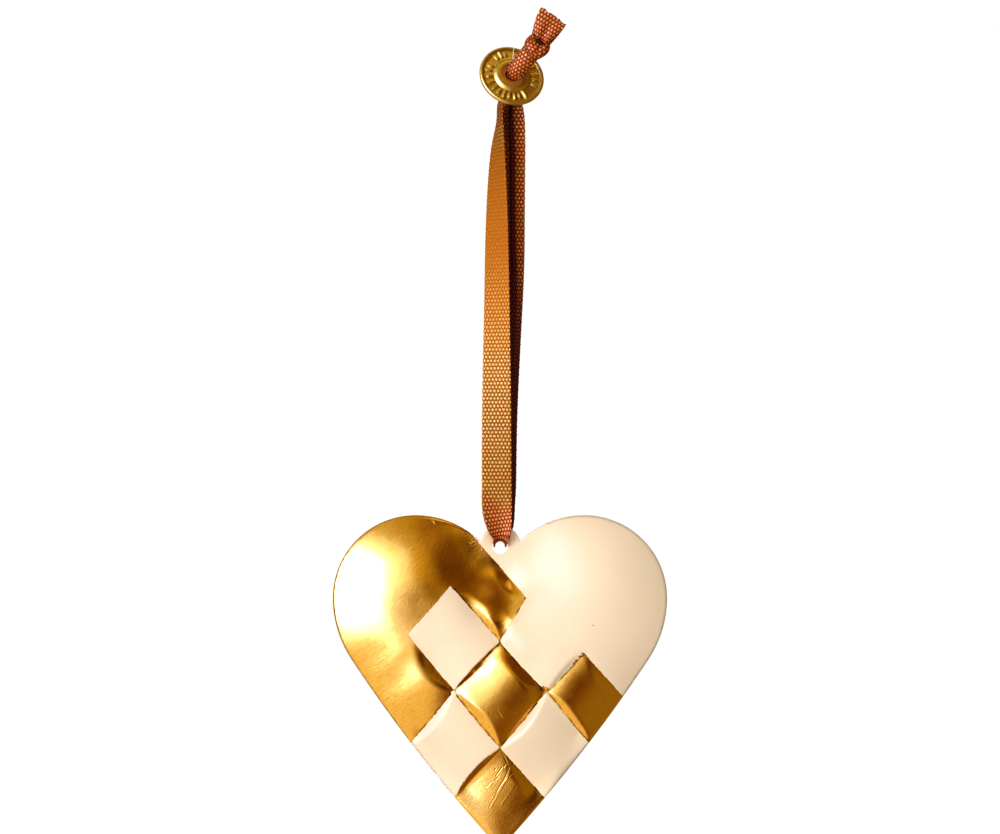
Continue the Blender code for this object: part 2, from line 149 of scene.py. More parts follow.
def deselect():
    """Leaves nothing selected, so that an operator acts on its own piece alone."""
    if bpy.context.object and bpy.context.object.mode != "OBJECT":
        bpy.ops.object.mode_set(mode="OBJECT")
    bpy.ops.object.select_all(action="DESELECT")


def activate(piece):
    """Selects one piece alone."""
    deselect()
    piece.select_set(True)
    bpy.context.view_layer.objects.active = piece


def name_new(name):
    """Names the primitive that was just added, and its mesh."""
    piece = bpy.context.object
    piece.name = name
    piece.data.name = name
    return piece


def rows_of(items, key):
    """Rows of x, y and z: the vertices' places ("co"), or the faces' centres or normals."""
    flat = np.empty(len(items) * 3, np.float32)
    items.foreach_get(key, flat)
    return flat.reshape(-1, 3).astype(float)


def place_vertices(mesh, places):
    """Moves the mesh's vertices to these rows of x, y and z."""
    mesh.vertices.foreach_set("co", np.ascontiguousarray(places, np.float32).ravel())
    mesh.update()


def add_grid(name, columns, rows):
    """A flat unit grid round the origin, with this many cells along x and y."""
    deselect()
    bpy.ops.mesh.primitive_grid_add(x_subdivisions=columns, y_subdivisions=rows, size=1)
    return name_new(name)


def edit_whole(piece, operator, **values):
    """Runs an edit mode operator on the whole of one piece."""
    activate(piece)
    bpy.ops.object.mode_set(mode="EDIT")
    bpy.ops.mesh.select_all(action="SELECT")
    operator(**values)
    bpy.ops.object.mode_set(mode="OBJECT")


def thicken(piece, step):
    """Extrudes the whole of a flat piece by a step, which closes it to a thin solid."""
    edit_whole(piece, bpy.ops.mesh.extrude_region_move, TRANSFORM_OT_translate={"value": step})


def face_outwards(piece):
    """Turns every face outwards."""
    edit_whole(piece, bpy.ops.mesh.normals_make_consistent, inside=False)


def delete_faces(piece, chosen):
    """Deletes the faces that a row of true and false chooses."""
    activate(piece)
    bpy.ops.object.mode_set(mode="EDIT")
    bpy.ops.mesh.select_mode(type="FACE")
    bpy.ops.mesh.select_all(action="DESELECT")
    bpy.ops.object.mode_set(mode="OBJECT")
    piece.data.polygons.foreach_set("select", np.ascontiguousarray(chosen, bool))
    bpy.ops.object.mode_set(mode="EDIT")
    bpy.ops.mesh.delete(type="FACE")
    bpy.ops.object.mode_set(mode="OBJECT")


def tell(mesh, name, values):
    """Gives each vertex a number or a row of three, which a material reads by its name."""
    kind, key = ("FLOAT", "value") if values.ndim == 1 else ("FLOAT_VECTOR", "vector")
    told = mesh.attributes.new(name, kind, "POINT")
    told.data.foreach_set(key, values.astype(np.float32).ravel())


def smooth(piece, angle):
    """Shades a piece smooth, but for edges sharper than an angle in degrees."""
    activate(piece)
    bpy.ops.object.shade_smooth_by_angle(angle=math.radians(angle))


def finish_piece(piece, slot, *nodes):
    """Rides a piece on the object, in the place of CAD nodes. The slot is not used."""
    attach(piece, "root")
    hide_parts(*nodes)


def ease(t):
    """A smooth step from 0 to 1."""
    t = np.clip(t, 0, 1)
    return t * t * (3 - 2 * t)


def between(first, second, share):
    """A share of the way from the first value to the second."""
    return first * (1 - share) + second * share


def colour(name, description, default):
    """A colour that the sidebar shows."""
    return FloatVectorProperty(
        name=name, description=description, subtype="COLOR", size=4, default=(*default, 1)
    )


def darker(shade, share):
    """A colour with each of its parts lowered to a share."""
    return [part * share for part in shade]


# ---- shader tools ----------------------------------------------------------------------------


class Link:
    """A socket's value. Sums on it add the Math nodes that work them out."""

    def __init__(self, tree, socket):
        self.tree = tree
        self.socket = socket

    def __abs__(self):
        return self.tree.maths("ABSOLUTE", self)

    def __add__(self, other):
        return self.tree.maths("ADD", self, other)

    def __radd__(self, other):
        return self.tree.maths("ADD", other, self)

    def __sub__(self, other):
        return self.tree.maths("SUBTRACT", self, other)

    def __rsub__(self, other):
        return self.tree.maths("SUBTRACT", other, self)

    def __mul__(self, other):
        return self.tree.maths("MULTIPLY", self, other)

    def __rmul__(self, other):
        return self.tree.maths("MULTIPLY", other, self)

    def __truediv__(self, other):
        return self.tree.maths("DIVIDE", self, other)

    def __lt__(self, other):
        return self.tree.maths("LESS_THAN", self, other)

    def __gt__(self, other):
        return self.tree.maths("GREATER_THAN", self, other)


class Tree:
    """Adds the nodes of a material or a world."""

    def __init__(self, tree):
        self.nodes = tree.nodes
        self.links = tree.links

    def add(self, kind, settings=None, output=0, **sockets):
        """Adds a node: its settings first, then its sockets' values or links."""
        node = self.nodes.new(kind)
        for key, value in (settings or {}).items():
            setattr(node, key, value)
        for key, value in sockets.items():
            self.feed(node.inputs[self.socket_key(key)], value)
        return Link(self, node.outputs[output])

    @staticmethod
    def socket_key(key):
        """A socket's number, or its name with spaces."""
        return int(key[1:]) if key[0] == "_" else key.replace("_", " ")

    def feed(self, socket, value):
        """Links or sets one input."""
        if isinstance(value, Link):
            self.links.new(value.socket, socket)
        else:
            socket.default_value = value

    def maths(self, operation, *values):
        """A Math node on values or links."""
        sockets = {f"_{i}": value for i, value in enumerate(values)}
        return self.add("ShaderNodeMath", {"operation": operation}, **sockets)

    def either(self, first, second):
        """The higher of two values: 1 where one or the other is 1."""
        return self.maths("MAXIMUM", first, second)

    def clamp(self, value, low, high):
        """A value kept between two numbers."""
        return self.add("ShaderNodeClamp", Value=value, Min=low, Max=high)

    def blend(self, factor, first, second):
        """A mix of two colours."""
        settings = {"data_type": "RGBA"}
        return self.add("ShaderNodeMix", settings, 2, _0=factor, _6=first, _7=second)

    def span(self, value, low, high, out_low=0.0, out_high=1.0):
        """Takes one range of a value to another, smoothly and clamped."""
        settings = {"interpolation_type": "SMOOTHSTEP"}
        return self.add(
            "ShaderNodeMapRange", settings, _0=value, _1=low, _2=high, _3=out_low, _4=out_high
        )

    def noise(self, vector, scale, detail=2.0, roughness=0.5):
        """A noise value of about 0.5, at this many lumps a metre."""
        return self.add(
            "ShaderNodeTexNoise",
            Vector=vector,
            Scale=scale,
            Detail=detail,
            Roughness=roughness,
        )

    def place(self):
        """Object coordinates."""
        return self.add("ShaderNodeTexCoord", output="Object")

    def split(self, vector):
        """A vector's three values."""
        node = self.add("ShaderNodeSeparateXYZ", Vector=vector).socket.node
        return [Link(self, socket) for socket in node.outputs]

    def join(self, x, y, z):
        """A vector of three values."""
        return self.add("ShaderNodeCombineXYZ", X=x, Y=y, Z=z)

    def bump(self, height, strength, distance, **under):
        """A surface normal raised by a height from 0 to 1, over another normal if one is given."""
        sockets = {"Height": height, "Strength": strength, "Distance": distance, **under}
        return self.add("ShaderNodeBump", output="Normal", **sockets)


class Finish(Tree):
    """A material and the nodes behind its Principled shader."""

    def __init__(self, name, **constants):
        self.material = bpy.data.materials.new(name)
        self.material.use_nodes = True
        super().__init__(self.material.node_tree)
        self.shader = self.nodes["Principled BSDF"]
        self.set(**constants)

    def set(self, **sockets):
        """Feeds the shader's own sockets."""
        for key, value in sockets.items():
            self.feed(self.shader.inputs[key.replace("_", " ")], value)


# ---- the heart -------------------------------------------------------------------------------


def arc(centre, radius, start, end):
    """Points along an arc from one angle to another, without the last one."""
    count = max(3, round(radius * abs(end - start) / ARC_STEP))
    angles = [start + (end - start) * i / count for i in range(count)]
    return [(centre[0] + radius * math.cos(a), centre[1] + radius * math.sin(a)) for a in angles]


def right_half():
    """The outline from the top of the ear round the right lobe to the tip."""
    lobe_x = HEART_WIDTH / 2 - LOBE_RADIUS
    inner_rise = LOBE_RISE + LOBE_RADIUS - INNER_RADIUS
    reach = math.hypot(lobe_x, EAR_RISE - inner_rise)
    towards_lobe = math.atan2(inner_rise - EAR_RISE, lobe_x)
    cosine = (reach**2 + EAR_RADIUS**2 - INNER_RADIUS**2) / (2 * reach * EAR_RADIUS)
    meet = towards_lobe + math.acos(cosine)
    meet_x = EAR_RADIUS * math.cos(meet)
    meet_z = EAR_RISE + EAR_RADIUS * math.sin(meet)
    inner_start = math.atan2(meet_z - inner_rise, meet_x - lobe_x)
    shoulder_x = HEART_WIDTH / 2 - SHOULDER_RADIUS
    side_x = shoulder_x - (SIDE_RADIUS - SHOULDER_RADIUS) * math.cos(SIDE_LEAN)
    side_z = LOBE_RISE + (SIDE_RADIUS - SHOULDER_RADIUS) * math.sin(SIDE_LEAN)
    tip_z = side_z - math.sqrt((SIDE_RADIUS - TIP_RADIUS) ** 2 - side_x**2)
    tip_turn = math.atan2(tip_z - side_z, -side_x)
    return (
        arc((0, EAR_RISE), EAR_RADIUS, math.pi / 2, meet)
        + arc((lobe_x, inner_rise), INNER_RADIUS, inner_start, math.pi / 2)
        + arc((lobe_x, LOBE_RISE), LOBE_RADIUS, math.pi / 2, 0)
        + arc((shoulder_x, LOBE_RISE), SHOULDER_RADIUS, 0, -SIDE_LEAN)
        + arc((side_x, side_z), SIDE_RADIUS, -SIDE_LEAN, tip_turn)
        + arc((0, tip_z), TIP_RADIUS, tip_turn, -math.pi / 2)
        + [(0, tip_z - TIP_RADIUS)]
    )


def whole_outline():
    """The closed outline, clockwise from the top of the ear."""
    half = right_half()
    return half + [(-x, z) for x, z in reversed(half[1:-1])]


def nearest_on(line, x, z):
    """For each point, the nearest place on a line through the given points, and how far it is."""
    start = np.array(line[:-1])
    step = np.array(line[1:]) - start
    nearest = np.full(x.shape, np.inf)
    near_x = np.zeros(x.shape)
    near_z = np.zeros(x.shape)
    for (px, pz), (sx, sz) in zip(start, step):
        along = np.clip(((x - px) * sx + (z - pz) * sz) / (sx * sx + sz * sz), 0, 1)
        found_x = px + along * sx
        found_z = pz + along * sz
        distance = np.hypot(x - found_x, z - found_z)
        closer = distance < nearest
        nearest = np.where(closer, distance, nearest)
        near_x = np.where(closer, found_x, near_x)
        near_z = np.where(closer, found_z, near_z)
    return near_x, near_z, nearest


def inside(loop, x, z):
    """Whether each point is inside a closed loop."""
    found = np.zeros(x.shape, bool)
    for (ax, az), (bx, bz) in zip(loop, loop[1:] + loop[:1]):
        if az != bz:
            crosses = (az > z) != (bz > z)
            found ^= crosses & (x < ax + (z - az) * (bx - ax) / (bz - az))
    return found


def from_rim(x, z):
    """Distance in from the rim, rounded where the two sides are as near."""
    half = right_half()
    right = nearest_on(half, x, z)[2]
    left = nearest_on(half, -x, z)[2]
    nearest = np.minimum(right, left)
    near = np.maximum(RIDGE_BLEND - np.abs(right - left), 0) / RIDGE_BLEND
    return between(nearest, nearest - near**2 * RIDGE_BLEND / 4, ease(nearest / RIDGE_BLEND))


def crossing_lift(x, z):
    """How far the weave is moved up at a point."""
    beside = (np.abs(x) - CHECK_HALF_WIDTH) / CROSSING_REACH
    return CROSSING_LIFT * np.exp(-(beside**2) - (z / CROSSING_REACH) ** 2)


def strips_at(x, z):
    """Strip numbers of a point: whole numbers are the edges of gold and of cream strips."""
    down = (crossing_lift(x, z) - z) / CHECK_HALF_HEIGHT
    gold = STRIPS / 2 + (down - x / CHECK_HALF_WIDTH) / 2
    cream = STRIPS / 2 + (down + x / CHECK_HALF_WIDTH) / 2
    return gold, cream


def skewed(gold, cream):
    """The strips' numbers, with the first gold strip's end askew and the first cream one short."""
    skew = END_SKEW * np.clip((1 - gold) / (1 - EAR_EDGE), 0, 1)
    short = (GILDED_END - GILDED_LEAN * cream) * ease((GILDED_UNTIL - cream) / FADES_OVER)
    moved = gold + short * ease(1 - 2 * np.abs(gold - STRIPS + 1))
    return moved, cream + skew * ease(1 - 2 * np.abs(cream - 1))


def end_flush(gold, cream):
    """The share by which the first gold strip's end and the cream beside it are brought level."""
    upper = ease((1 - gold) / END_FLUSH)
    right = np.clip(2 * cream - 1, 0, 1) * ease((FLUSH_UNTIL - cream) / FADES_OVER)
    return END_SHARE * upper * right


def depth_share(gold, cream):
    """The weave's share of its depth, worked out smoothly between the middles of the checks."""
    depths = np.array(DEPTHS)
    low_gold = np.clip(np.floor(gold - 0.5), 0, STRIPS - 2).astype(int)
    low_cream = np.clip(np.floor(cream - 0.5), 0, STRIPS - 2).astype(int)
    down = ease(gold - 0.5 - low_gold)
    right = ease(cream - 0.5 - low_cream)
    upper = between(depths[low_gold, low_cream], depths[low_gold, low_cream + 1], right)
    lower = between(depths[low_gold + 1, low_cream], depths[low_gold + 1, low_cream + 1], right)
    return between(upper, lower, down)


def place_of(gold, cream):
    """The point with these strip numbers."""
    x = (cream - gold) * CHECK_HALF_WIDTH
    even = -(gold + cream - STRIPS) * CHECK_HALF_HEIGHT
    z = even
    for _ in range(4):
        z = even + crossing_lift(x, z)
    return x, z


def in_checks(checks, gold_row, cream_row):
    """Whether each point's check is one of those listed."""
    found = np.zeros(gold_row.shape, bool)
    for row, column in checks:
        found |= (gold_row == row) & (cream_row == column)
    return found


def relief(x, z, dome_height, weave_depth):
    """How far the pressed face stands in front of the rim."""
    depth_in = from_rim(x, z)
    level = 1 - (1 - np.minimum(depth_in / DOME_REACH, 1)) ** 2
    from_hole = np.hypot(x, z - EAR_RISE)
    spread = EAR_SPREAD + EAR_WIDER * ease((x / EAR_FLAT + 1) / 2)
    beside = np.maximum(from_hole - EAR_FLAT, 0) / spread
    dome = dome_height * level * (1 - np.exp(-(beside**2)))
    dome *= 1 - TIP_FLAT * ease((-z - TIP_FROM) / TIP_OVER)

    gold, cream = skewed(*strips_at(x, z))
    gold_row = np.clip(np.floor(gold), 0, STRIPS - 1).astype(int)
    cream_row = np.clip(np.floor(cream), 0, STRIPS - 1).astype(int)
    gold_over = (gold_row + cream_row) % 2 == 0
    along = np.where(gold_over, cream - cream_row, gold - gold_row)
    across = np.where(gold_over, gold - gold_row, cream - cream_row)
    first_edge = np.where(cream_row == 0, EAR_EDGE, SIDE_EDGE)
    lower = np.where(gold_over & (gold_row == 0), first_edge, 0)
    crest = np.clip(1 - (2 * along - 1) ** 2, 0, 1)
    smooth_ends = in_checks(SMOOTH_ENDS, gold_row, cream_row)
    crest = np.where(smooth_ends, ease(1 - np.abs(2 * along - 1)), crest)
    near_wall = (across - lower) / np.array(NEAR_WALLS)[gold_row, cream_row]
    even = in_checks(EVEN_WALLS, gold_row, cream_row)
    near_wall = np.where(even, near_wall * crest, near_wall)
    far_wall = (1 - across) / np.array(FAR_WALLS)[gold_row, cream_row]
    wall = np.clip(np.minimum(near_wall, far_wall), 0, 2)
    rounded = np.maximum(SOFT_EDGE - np.abs(crest - wall), 0) ** 2 / SOFT_EDGE / 4
    cover = np.clip(np.minimum(crest, wall) - rounded, 0, 1)
    grown = ease(cream / FADE) * ease((gold - GOLD_FADE_START) / GOLD_FADE)
    grown *= RIM_SHARE + (1 - RIM_SHARE) * ease(depth_in / RIM_BLEND)
    grown *= depth_share(gold, cream) * (1 - end_flush(gold, cream))
    rounding = np.maximum(1 - depth_in / RIM_ROUND, 0) ** 2 * RIM_DROP
    return dome - weave_depth * grown * (1 - cover) - rounding


def boundary_vertices(mesh):
    """Numbers of the vertices on edges with one face."""
    edges = np.empty(len(mesh.loops), np.int32)
    mesh.loops.foreach_get("edge_index", edges)
    uses = np.bincount(edges, minlength=len(mesh.edges))
    ends = np.empty(len(mesh.edges) * 2, np.int32)
    mesh.edges.foreach_get("vertices", ends)
    return np.unique(ends.reshape(-1, 2)[uses == 1])


def cut_sheet(cell):
    """A flat sheet in the heart's outline, with its hole, meshed along the weave's strips."""
    loop = whole_outline()
    corners = np.array(strips_at(*np.array(loop).T))
    low = math.floor(corners.min() / cell) - 1
    high = math.ceil(corners.max() / cell) + 1
    sheet = add_grid("heart_sheet", high - low, high - low)
    raw = rows_of(sheet.data.vertices, "co")
    gold = cell * (low + (raw[:, 0] + 0.5) * (high - low))
    cream = cell * (low + (raw[:, 1] + 0.5) * (high - low))
    x, z = place_of(gold, cream)
    place_vertices(sheet.data, np.stack([x, np.zeros_like(x), z], 1))

    centres = rows_of(sheet.data.polygons, "center")
    off = ~inside(loop, centres[:, 0], centres[:, 2])
    off |= np.hypot(centres[:, 0], centres[:, 2] - EAR_RISE) < HOLE_RADIUS
    delete_faces(sheet, off)

    places = rows_of(sheet.data.vertices, "co")
    edge = boundary_vertices(sheet.data)
    x, z = places[edge, 0], places[edge, 2]
    near_x, near_z, _ = nearest_on(loop + loop[:1], x, z)
    from_hole = np.hypot(x, z - EAR_RISE)
    at_hole = np.abs(from_hole - HOLE_RADIUS) < np.hypot(x - near_x, z - near_z)
    scale = HOLE_RADIUS / np.maximum(from_hole, HOLE_RADIUS / 2)
    places[edge, 0] = np.where(at_hole, x * scale, near_x)
    places[edge, 2] = np.where(at_hole, EAR_RISE + (z - EAR_RISE) * scale, near_z)
    place_vertices(sheet.data, places)
    return sheet


# Scratches, folds and nicks in the gold. Each row: both ends as x and z from the middle of the
# weave, the half width and the height, all in mm.
MARKS = [
    (1.3, -14.4, 2.7, -17.1, 0.35, 0.06),
    (2.7, -17.1, 1.8, -19.5, 0.35, 0.06),
    (1.8, -19.5, -2.2, -26.7, 0.3, 0.06),
    (3.4, -18.5, 1.3, -20.3, 0.3, 0.06),
    (1.3, -20.3, -1.6, -24.3, 0.28, 0.06),
    (-1.6, -24.3, -2.8, -26.7, 0.28, 0.06),
    (4.4, -17.5, 8.0, -21.9, 0.6, 0.14),
    (1.0, -14.6, 2.1, -17.2, 0.25, -0.1),
    (2.1, -17.2, 1.2, -19.4, 0.25, -0.1),
    (1.2, -19.4, -2.6, -26.4, 0.25, -0.08),
    (0.6, -16.9, -0.9, -19.1, 0.22, -0.1),
    (-0.2, -19.1, -1.6, -20.7, 0.22, -0.08),
    (1.5, -16.1, 0.9, -17.1, 0.2, -0.1),
    (-1.0, -17.4, -1.2, -17.7, 0.22, -0.14),
    (-1.2, -20.1, -3.0, -22.1, 0.2, 0.06),
    (3.0, -22.0, 0.4, -26.0, 0.4, 0.05),
    (-7.0, 35.5, -5.6, 36.1, 0.22, 0.1),
    (-5.6, 36.1, -4.5, 35.6, 0.22, 0.1),
    (-4.2, 34.1, -4.2, 33.7, 0.2, 0.05),
    (-25.2, 6.9, -23.4, 6.6, 0.3, 0.02),
    (0.0, -3.8, 0.8, -5.3, 0.2, 0.08),
    (-0.9, -4.5, -0.4, -5.3, 0.18, 0.06),
    (-16.0, 41.1, -15.3, 40.3, 0.2, 0.09),
]
# Spots of x, z and radius in mm, from the middle of the weave: dark specks in the enamel and the
# gold, gold over the cream's edges, and cream over the gold's
SPECKS = [
    (21.8, 16.5, 0.22),
    (-8.7, -20.8, 0.3),
    (-30.9, 25.8, 0.4),
    (19.1, 9.3, 0.25),
    (11.8, 40.3, 0.18),
    (9.5, -0.2, 0.22),
    (10.2, 2.9, 0.15),
    (-15.9, 41.0, 0.2),
]
GOLD_CHIPS = [
    (19.4, 9.9, 0.3),
    (18.9, 9.0, 0.55),
    (18.1, 8.0, 0.6),
    (17.5, 7.4, 0.5),
    (10.8, 1.5, 0.7),
    (10.2, 1.9, 0.5),
    (0.1, 12.3, 0.55),
    (0.0, -12.8, 0.5),
]
CREAM_CHIPS = [
    (-11.0, 0.6, 0.65),
    (-10.6, 0.2, 0.5),
]
CHIP_EDGE = 0.1  # a chip ends where its spot has faded to this


class HeartSettings(PropertyGroup):
    """The pressed sheet and its paints."""

    cell: FloatProperty(name="Mesh cell", description="Size of a cell, in checks", default=0.02)
    dome_height: FloatProperty(
        name="Dome height",
        description="How far the middle of the heart stands in front of its rim",
        default=5.5 * MM,
        unit="LENGTH",
        precision=4,
    )
    weave_depth: FloatProperty(
        name="Weave depth",
        description="How far a strip's crest stands above its ends",
        default=2 * MM,
        unit="LENGTH",
        precision=4,
    )
    gold: colour("Gold", "Gold paint", (1.0, 0.62, 0.21))
    # Darker gold, laid along the seams between the strips and in the grooves of the marks.
    seam_darkening: colour("Grime", "Gold in seams and creases", (0.32, 0.15, 0.02))
    cream: colour("Cream", "Cream enamel", (0.82, 0.665, 0.49))
    speck: colour("Speck", "Dark specks in both", (0.1, 0.06, 0.03))


def spots(finish, x, up, rows):
    """1 in the middle of each spot and 0 away from them all."""
    found = 0.0
    for spot_x, spot_up, radius in rows:
        off_x = x - spot_x * MM
        off_up = up - spot_up * MM
        away = finish.maths("SQRT", off_x * off_x + off_up * off_up)
        found = finish.span(away, radius * MM, 0.0) + found
    return found


def seam_along(finish, strips):
    """1 along the edges of strips and 0 away from them."""
    return finish.span(abs(strips - finish.maths("ROUND", strips)), SEAM, 0.0)


def gold_mask(finish, x, z, wobble):
    """1 where the face is painted gold and 0 where it is cream, and 1 along the gold's seams."""
    up = z + WEAVE_DROP
    beside = (abs(x) - CHECK_HALF_WIDTH) / CROSSING_REACH
    above = up / CROSSING_REACH
    lift = finish.maths("EXPONENT", (beside * beside + above * above) * -1) * CROSSING_LIFT
    down = (lift - up) * (0.5 / CHECK_HALF_HEIGHT) + STRIPS / 2
    right = x * (0.5 / CHECK_HALF_WIDTH)
    gold = down - right + wobble
    cream = down + right - wobble
    skew = finish.either(1 - gold, 0.0) * (END_SKEW / (1 - EAR_EDGE))
    cream = cream + skew * (cream < 1.5)

    gold_row = finish.clamp(finish.maths("FLOOR", gold), 0, STRIPS - 1)
    cream_row = finish.clamp(finish.maths("FLOOR", cream), 0, STRIPS - 1)
    cream_over = finish.maths("FLOORED_MODULO", gold_row + cream_row, 2.0)
    first_edge = EAR_EDGE + (SIDE_EDGE - EAR_EDGE) * (cream > 1.0)
    painted = (1 - cream_over) * (gold > first_edge)
    for row, column in GILDED_WALLS:
        halves = 2 * (gold - row) - 1
        crest = 1 - halves * halves
        wall_start = column + 1 - FAR_WALLS[row][column] * crest
        in_check = (gold > row) * (gold < row + 1) * (cream < column + 1)
        painted = finish.either(painted, in_check * (cream > wall_start))
    end_start = STRIPS - 1 - GILDED_END + GILDED_LEAN * cream
    end = (gold > end_start) * (gold < STRIPS - 1) * (cream < GILDED_REACH)
    lobe = (cream < CREAM_EDGE) * (gold > EAR_EDGE)
    painted = finish.either(finish.either(painted, end) * (cream > CREAM_EDGE), lobe)
    painted = finish.either(painted, spots(finish, x, up, GOLD_CHIPS) > CHIP_EDGE)
    painted = painted * (spots(finish, x, up, CREAM_CHIPS) < CHIP_EDGE)

    shown = finish.either((gold > 0.5) * (gold < 1.5), cream > 1.0)
    gold_seam = seam_along(finish, gold) * (cream > 0.0) * shown
    last_end = (gold > 2.0) * (cream > 1.5)
    cream_seam = seam_along(finish, cream) * (gold > 0.0) * (cream > 0.5) * (1 - last_end)
    return painted, painted * finish.either(gold_seam, cream_seam)


def marks_height(finish, x, z):
    """The folds' and scratches' height, in parts of the deepest."""
    deepest = max(abs(row[5]) for row in MARKS)
    height = 0.0
    for start_x, start_z, end_x, end_z, half, tall in MARKS:
        run_x, run_z = (end_x - start_x) * MM, (end_z - start_z) * MM
        off_x = x - start_x * MM
        off_z = z - (start_z * MM - WEAVE_DROP)
        squared = run_x**2 + run_z**2
        along = finish.clamp(off_x * (run_x / squared) + off_z * (run_z / squared), 0, 1)
        away_x = off_x - along * run_x
        away_z = off_z - along * run_z
        near = finish.maths("SQRT", away_x * away_x + away_z * away_z)
        height = height + finish.span(near, 0.0, half * MM, tall / deepest, 0.0)
    return height


def clouded(finish, place, shade, share):
    """A colour that is darker in soft clouds, down to a share of it."""
    cloud = finish.span(finish.noise(place, 60, 3), 0.35, 0.65)
    return finish.blend(cloud, darker(shade, share), shade)


def woven_paint(settings):
    finish = Finish("woven_paint", Specular_IOR_Level=0.5)
    place = finish.place()
    x, _, z = finish.split(place)
    waves = (finish.noise(place, 280, 3) - 0.5) * 0.03
    crumbs = (finish.noise(place, 1600, 2) - 0.5) * 0.024
    mask, seam = gold_mask(finish, x, z, waves + crumbs)

    down = z * (-0.5 / CHECK_HALF_HEIGHT)
    right = x * (0.5 / CHECK_HALF_WIDTH)
    streaks = finish.noise(finish.join((down - right) * 7, (down + right) * 80, 0.0), 1.0, 4, 0.6)
    grain = finish.noise(place, 3400, 2)
    tone = finish.span(streaks * 0.6 + grain * 0.4, 0.35, 0.65)
    gold = finish.blend(tone, darker(settings.gold, 0.84), settings.gold)
    marks = marks_height(finish, x, z)
    patchy = finish.span(finish.noise(place, 500, 2), 0.38, 0.62)
    # The gold is darker in patches along its seams and in the marks' grooves, and less so on their
    # ridges.
    seam_darkening = finish.clamp(seam * patchy * 1.2 + marks * -0.8, 0, 0.8)
    gold = finish.blend(seam_darkening, gold, settings.seam_darkening)
    paint = finish.blend(mask, clouded(finish, place, settings.cream, 0.97), gold)
    speckled = spots(finish, x, z + WEAVE_DROP, SPECKS) * 0.9

    dents = finish.bump(finish.noise(place, 110, 2) * mask, 0.5, 0.2 * MM)
    marked = finish.bump(marks * mask, 1.0, 0.06 * MM, Normal=dents)
    coarse = finish.span(finish.noise(place, 90, 2), 0.4, 0.65)
    brushed = streaks * 0.5 + grain * (coarse * 0.7 + 0.3)
    fine = mask * brushed + (1 - mask) * grain * 0.08
    finish.set(
        Base_Color=finish.blend(speckled, paint, settings.speck),
        Metallic=mask,
        Roughness=0.45 + mask * (streaks * 0.14 - 0.33),
        Normal=finish.bump(fine, 0.35, 0.14 * MM, Normal=marked),
    )
    return finish.material


def plain_enamel(settings):
    """The back's cream enamel."""
    finish = Finish("cream_enamel", Roughness=0.4)
    place = finish.place()
    finish.set(
        Base_Color=clouded(finish, place, settings.cream, 0.96),
        Normal=finish.bump(finish.noise(place, 700, 3), 0.12, 0.2 * MM),
    )
    return finish.material


class ORNAMENT_OT_heart(Operator):
    """Adds the pressed and painted heart"""

    bl_idname = "ornament.heart"
    bl_label = "Heart"

    def execute(self, context):
        settings = context.scene.heart_settings
        sheet = cut_sheet(settings.cell)
        thicken(sheet, (0, SHEET, 0))
        places = rows_of(sheet.data.vertices, "co")
        x, z = places[:, 0], places[:, 2]
        places[:, 1] -= SHEET / 2 + relief(x, z, settings.dome_height, settings.weave_depth)
        places[:, 2] -= WEAVE_DROP
        place_vertices(sheet.data, places)
        face_outwards(sheet)

        sheet.data.materials.append(woven_paint(settings))
        sheet.data.materials.append(plain_enamel(settings))
        facing = rows_of(sheet.data.polygons, "normal")[:, 1]
        sheet.data.polygons.foreach_set("material_index", (facing > 0.3).astype(np.int32))
        smooth(sheet, 50)
        finish_piece(sheet, "painted_sheet", "heart")
        return {"FINISHED"}
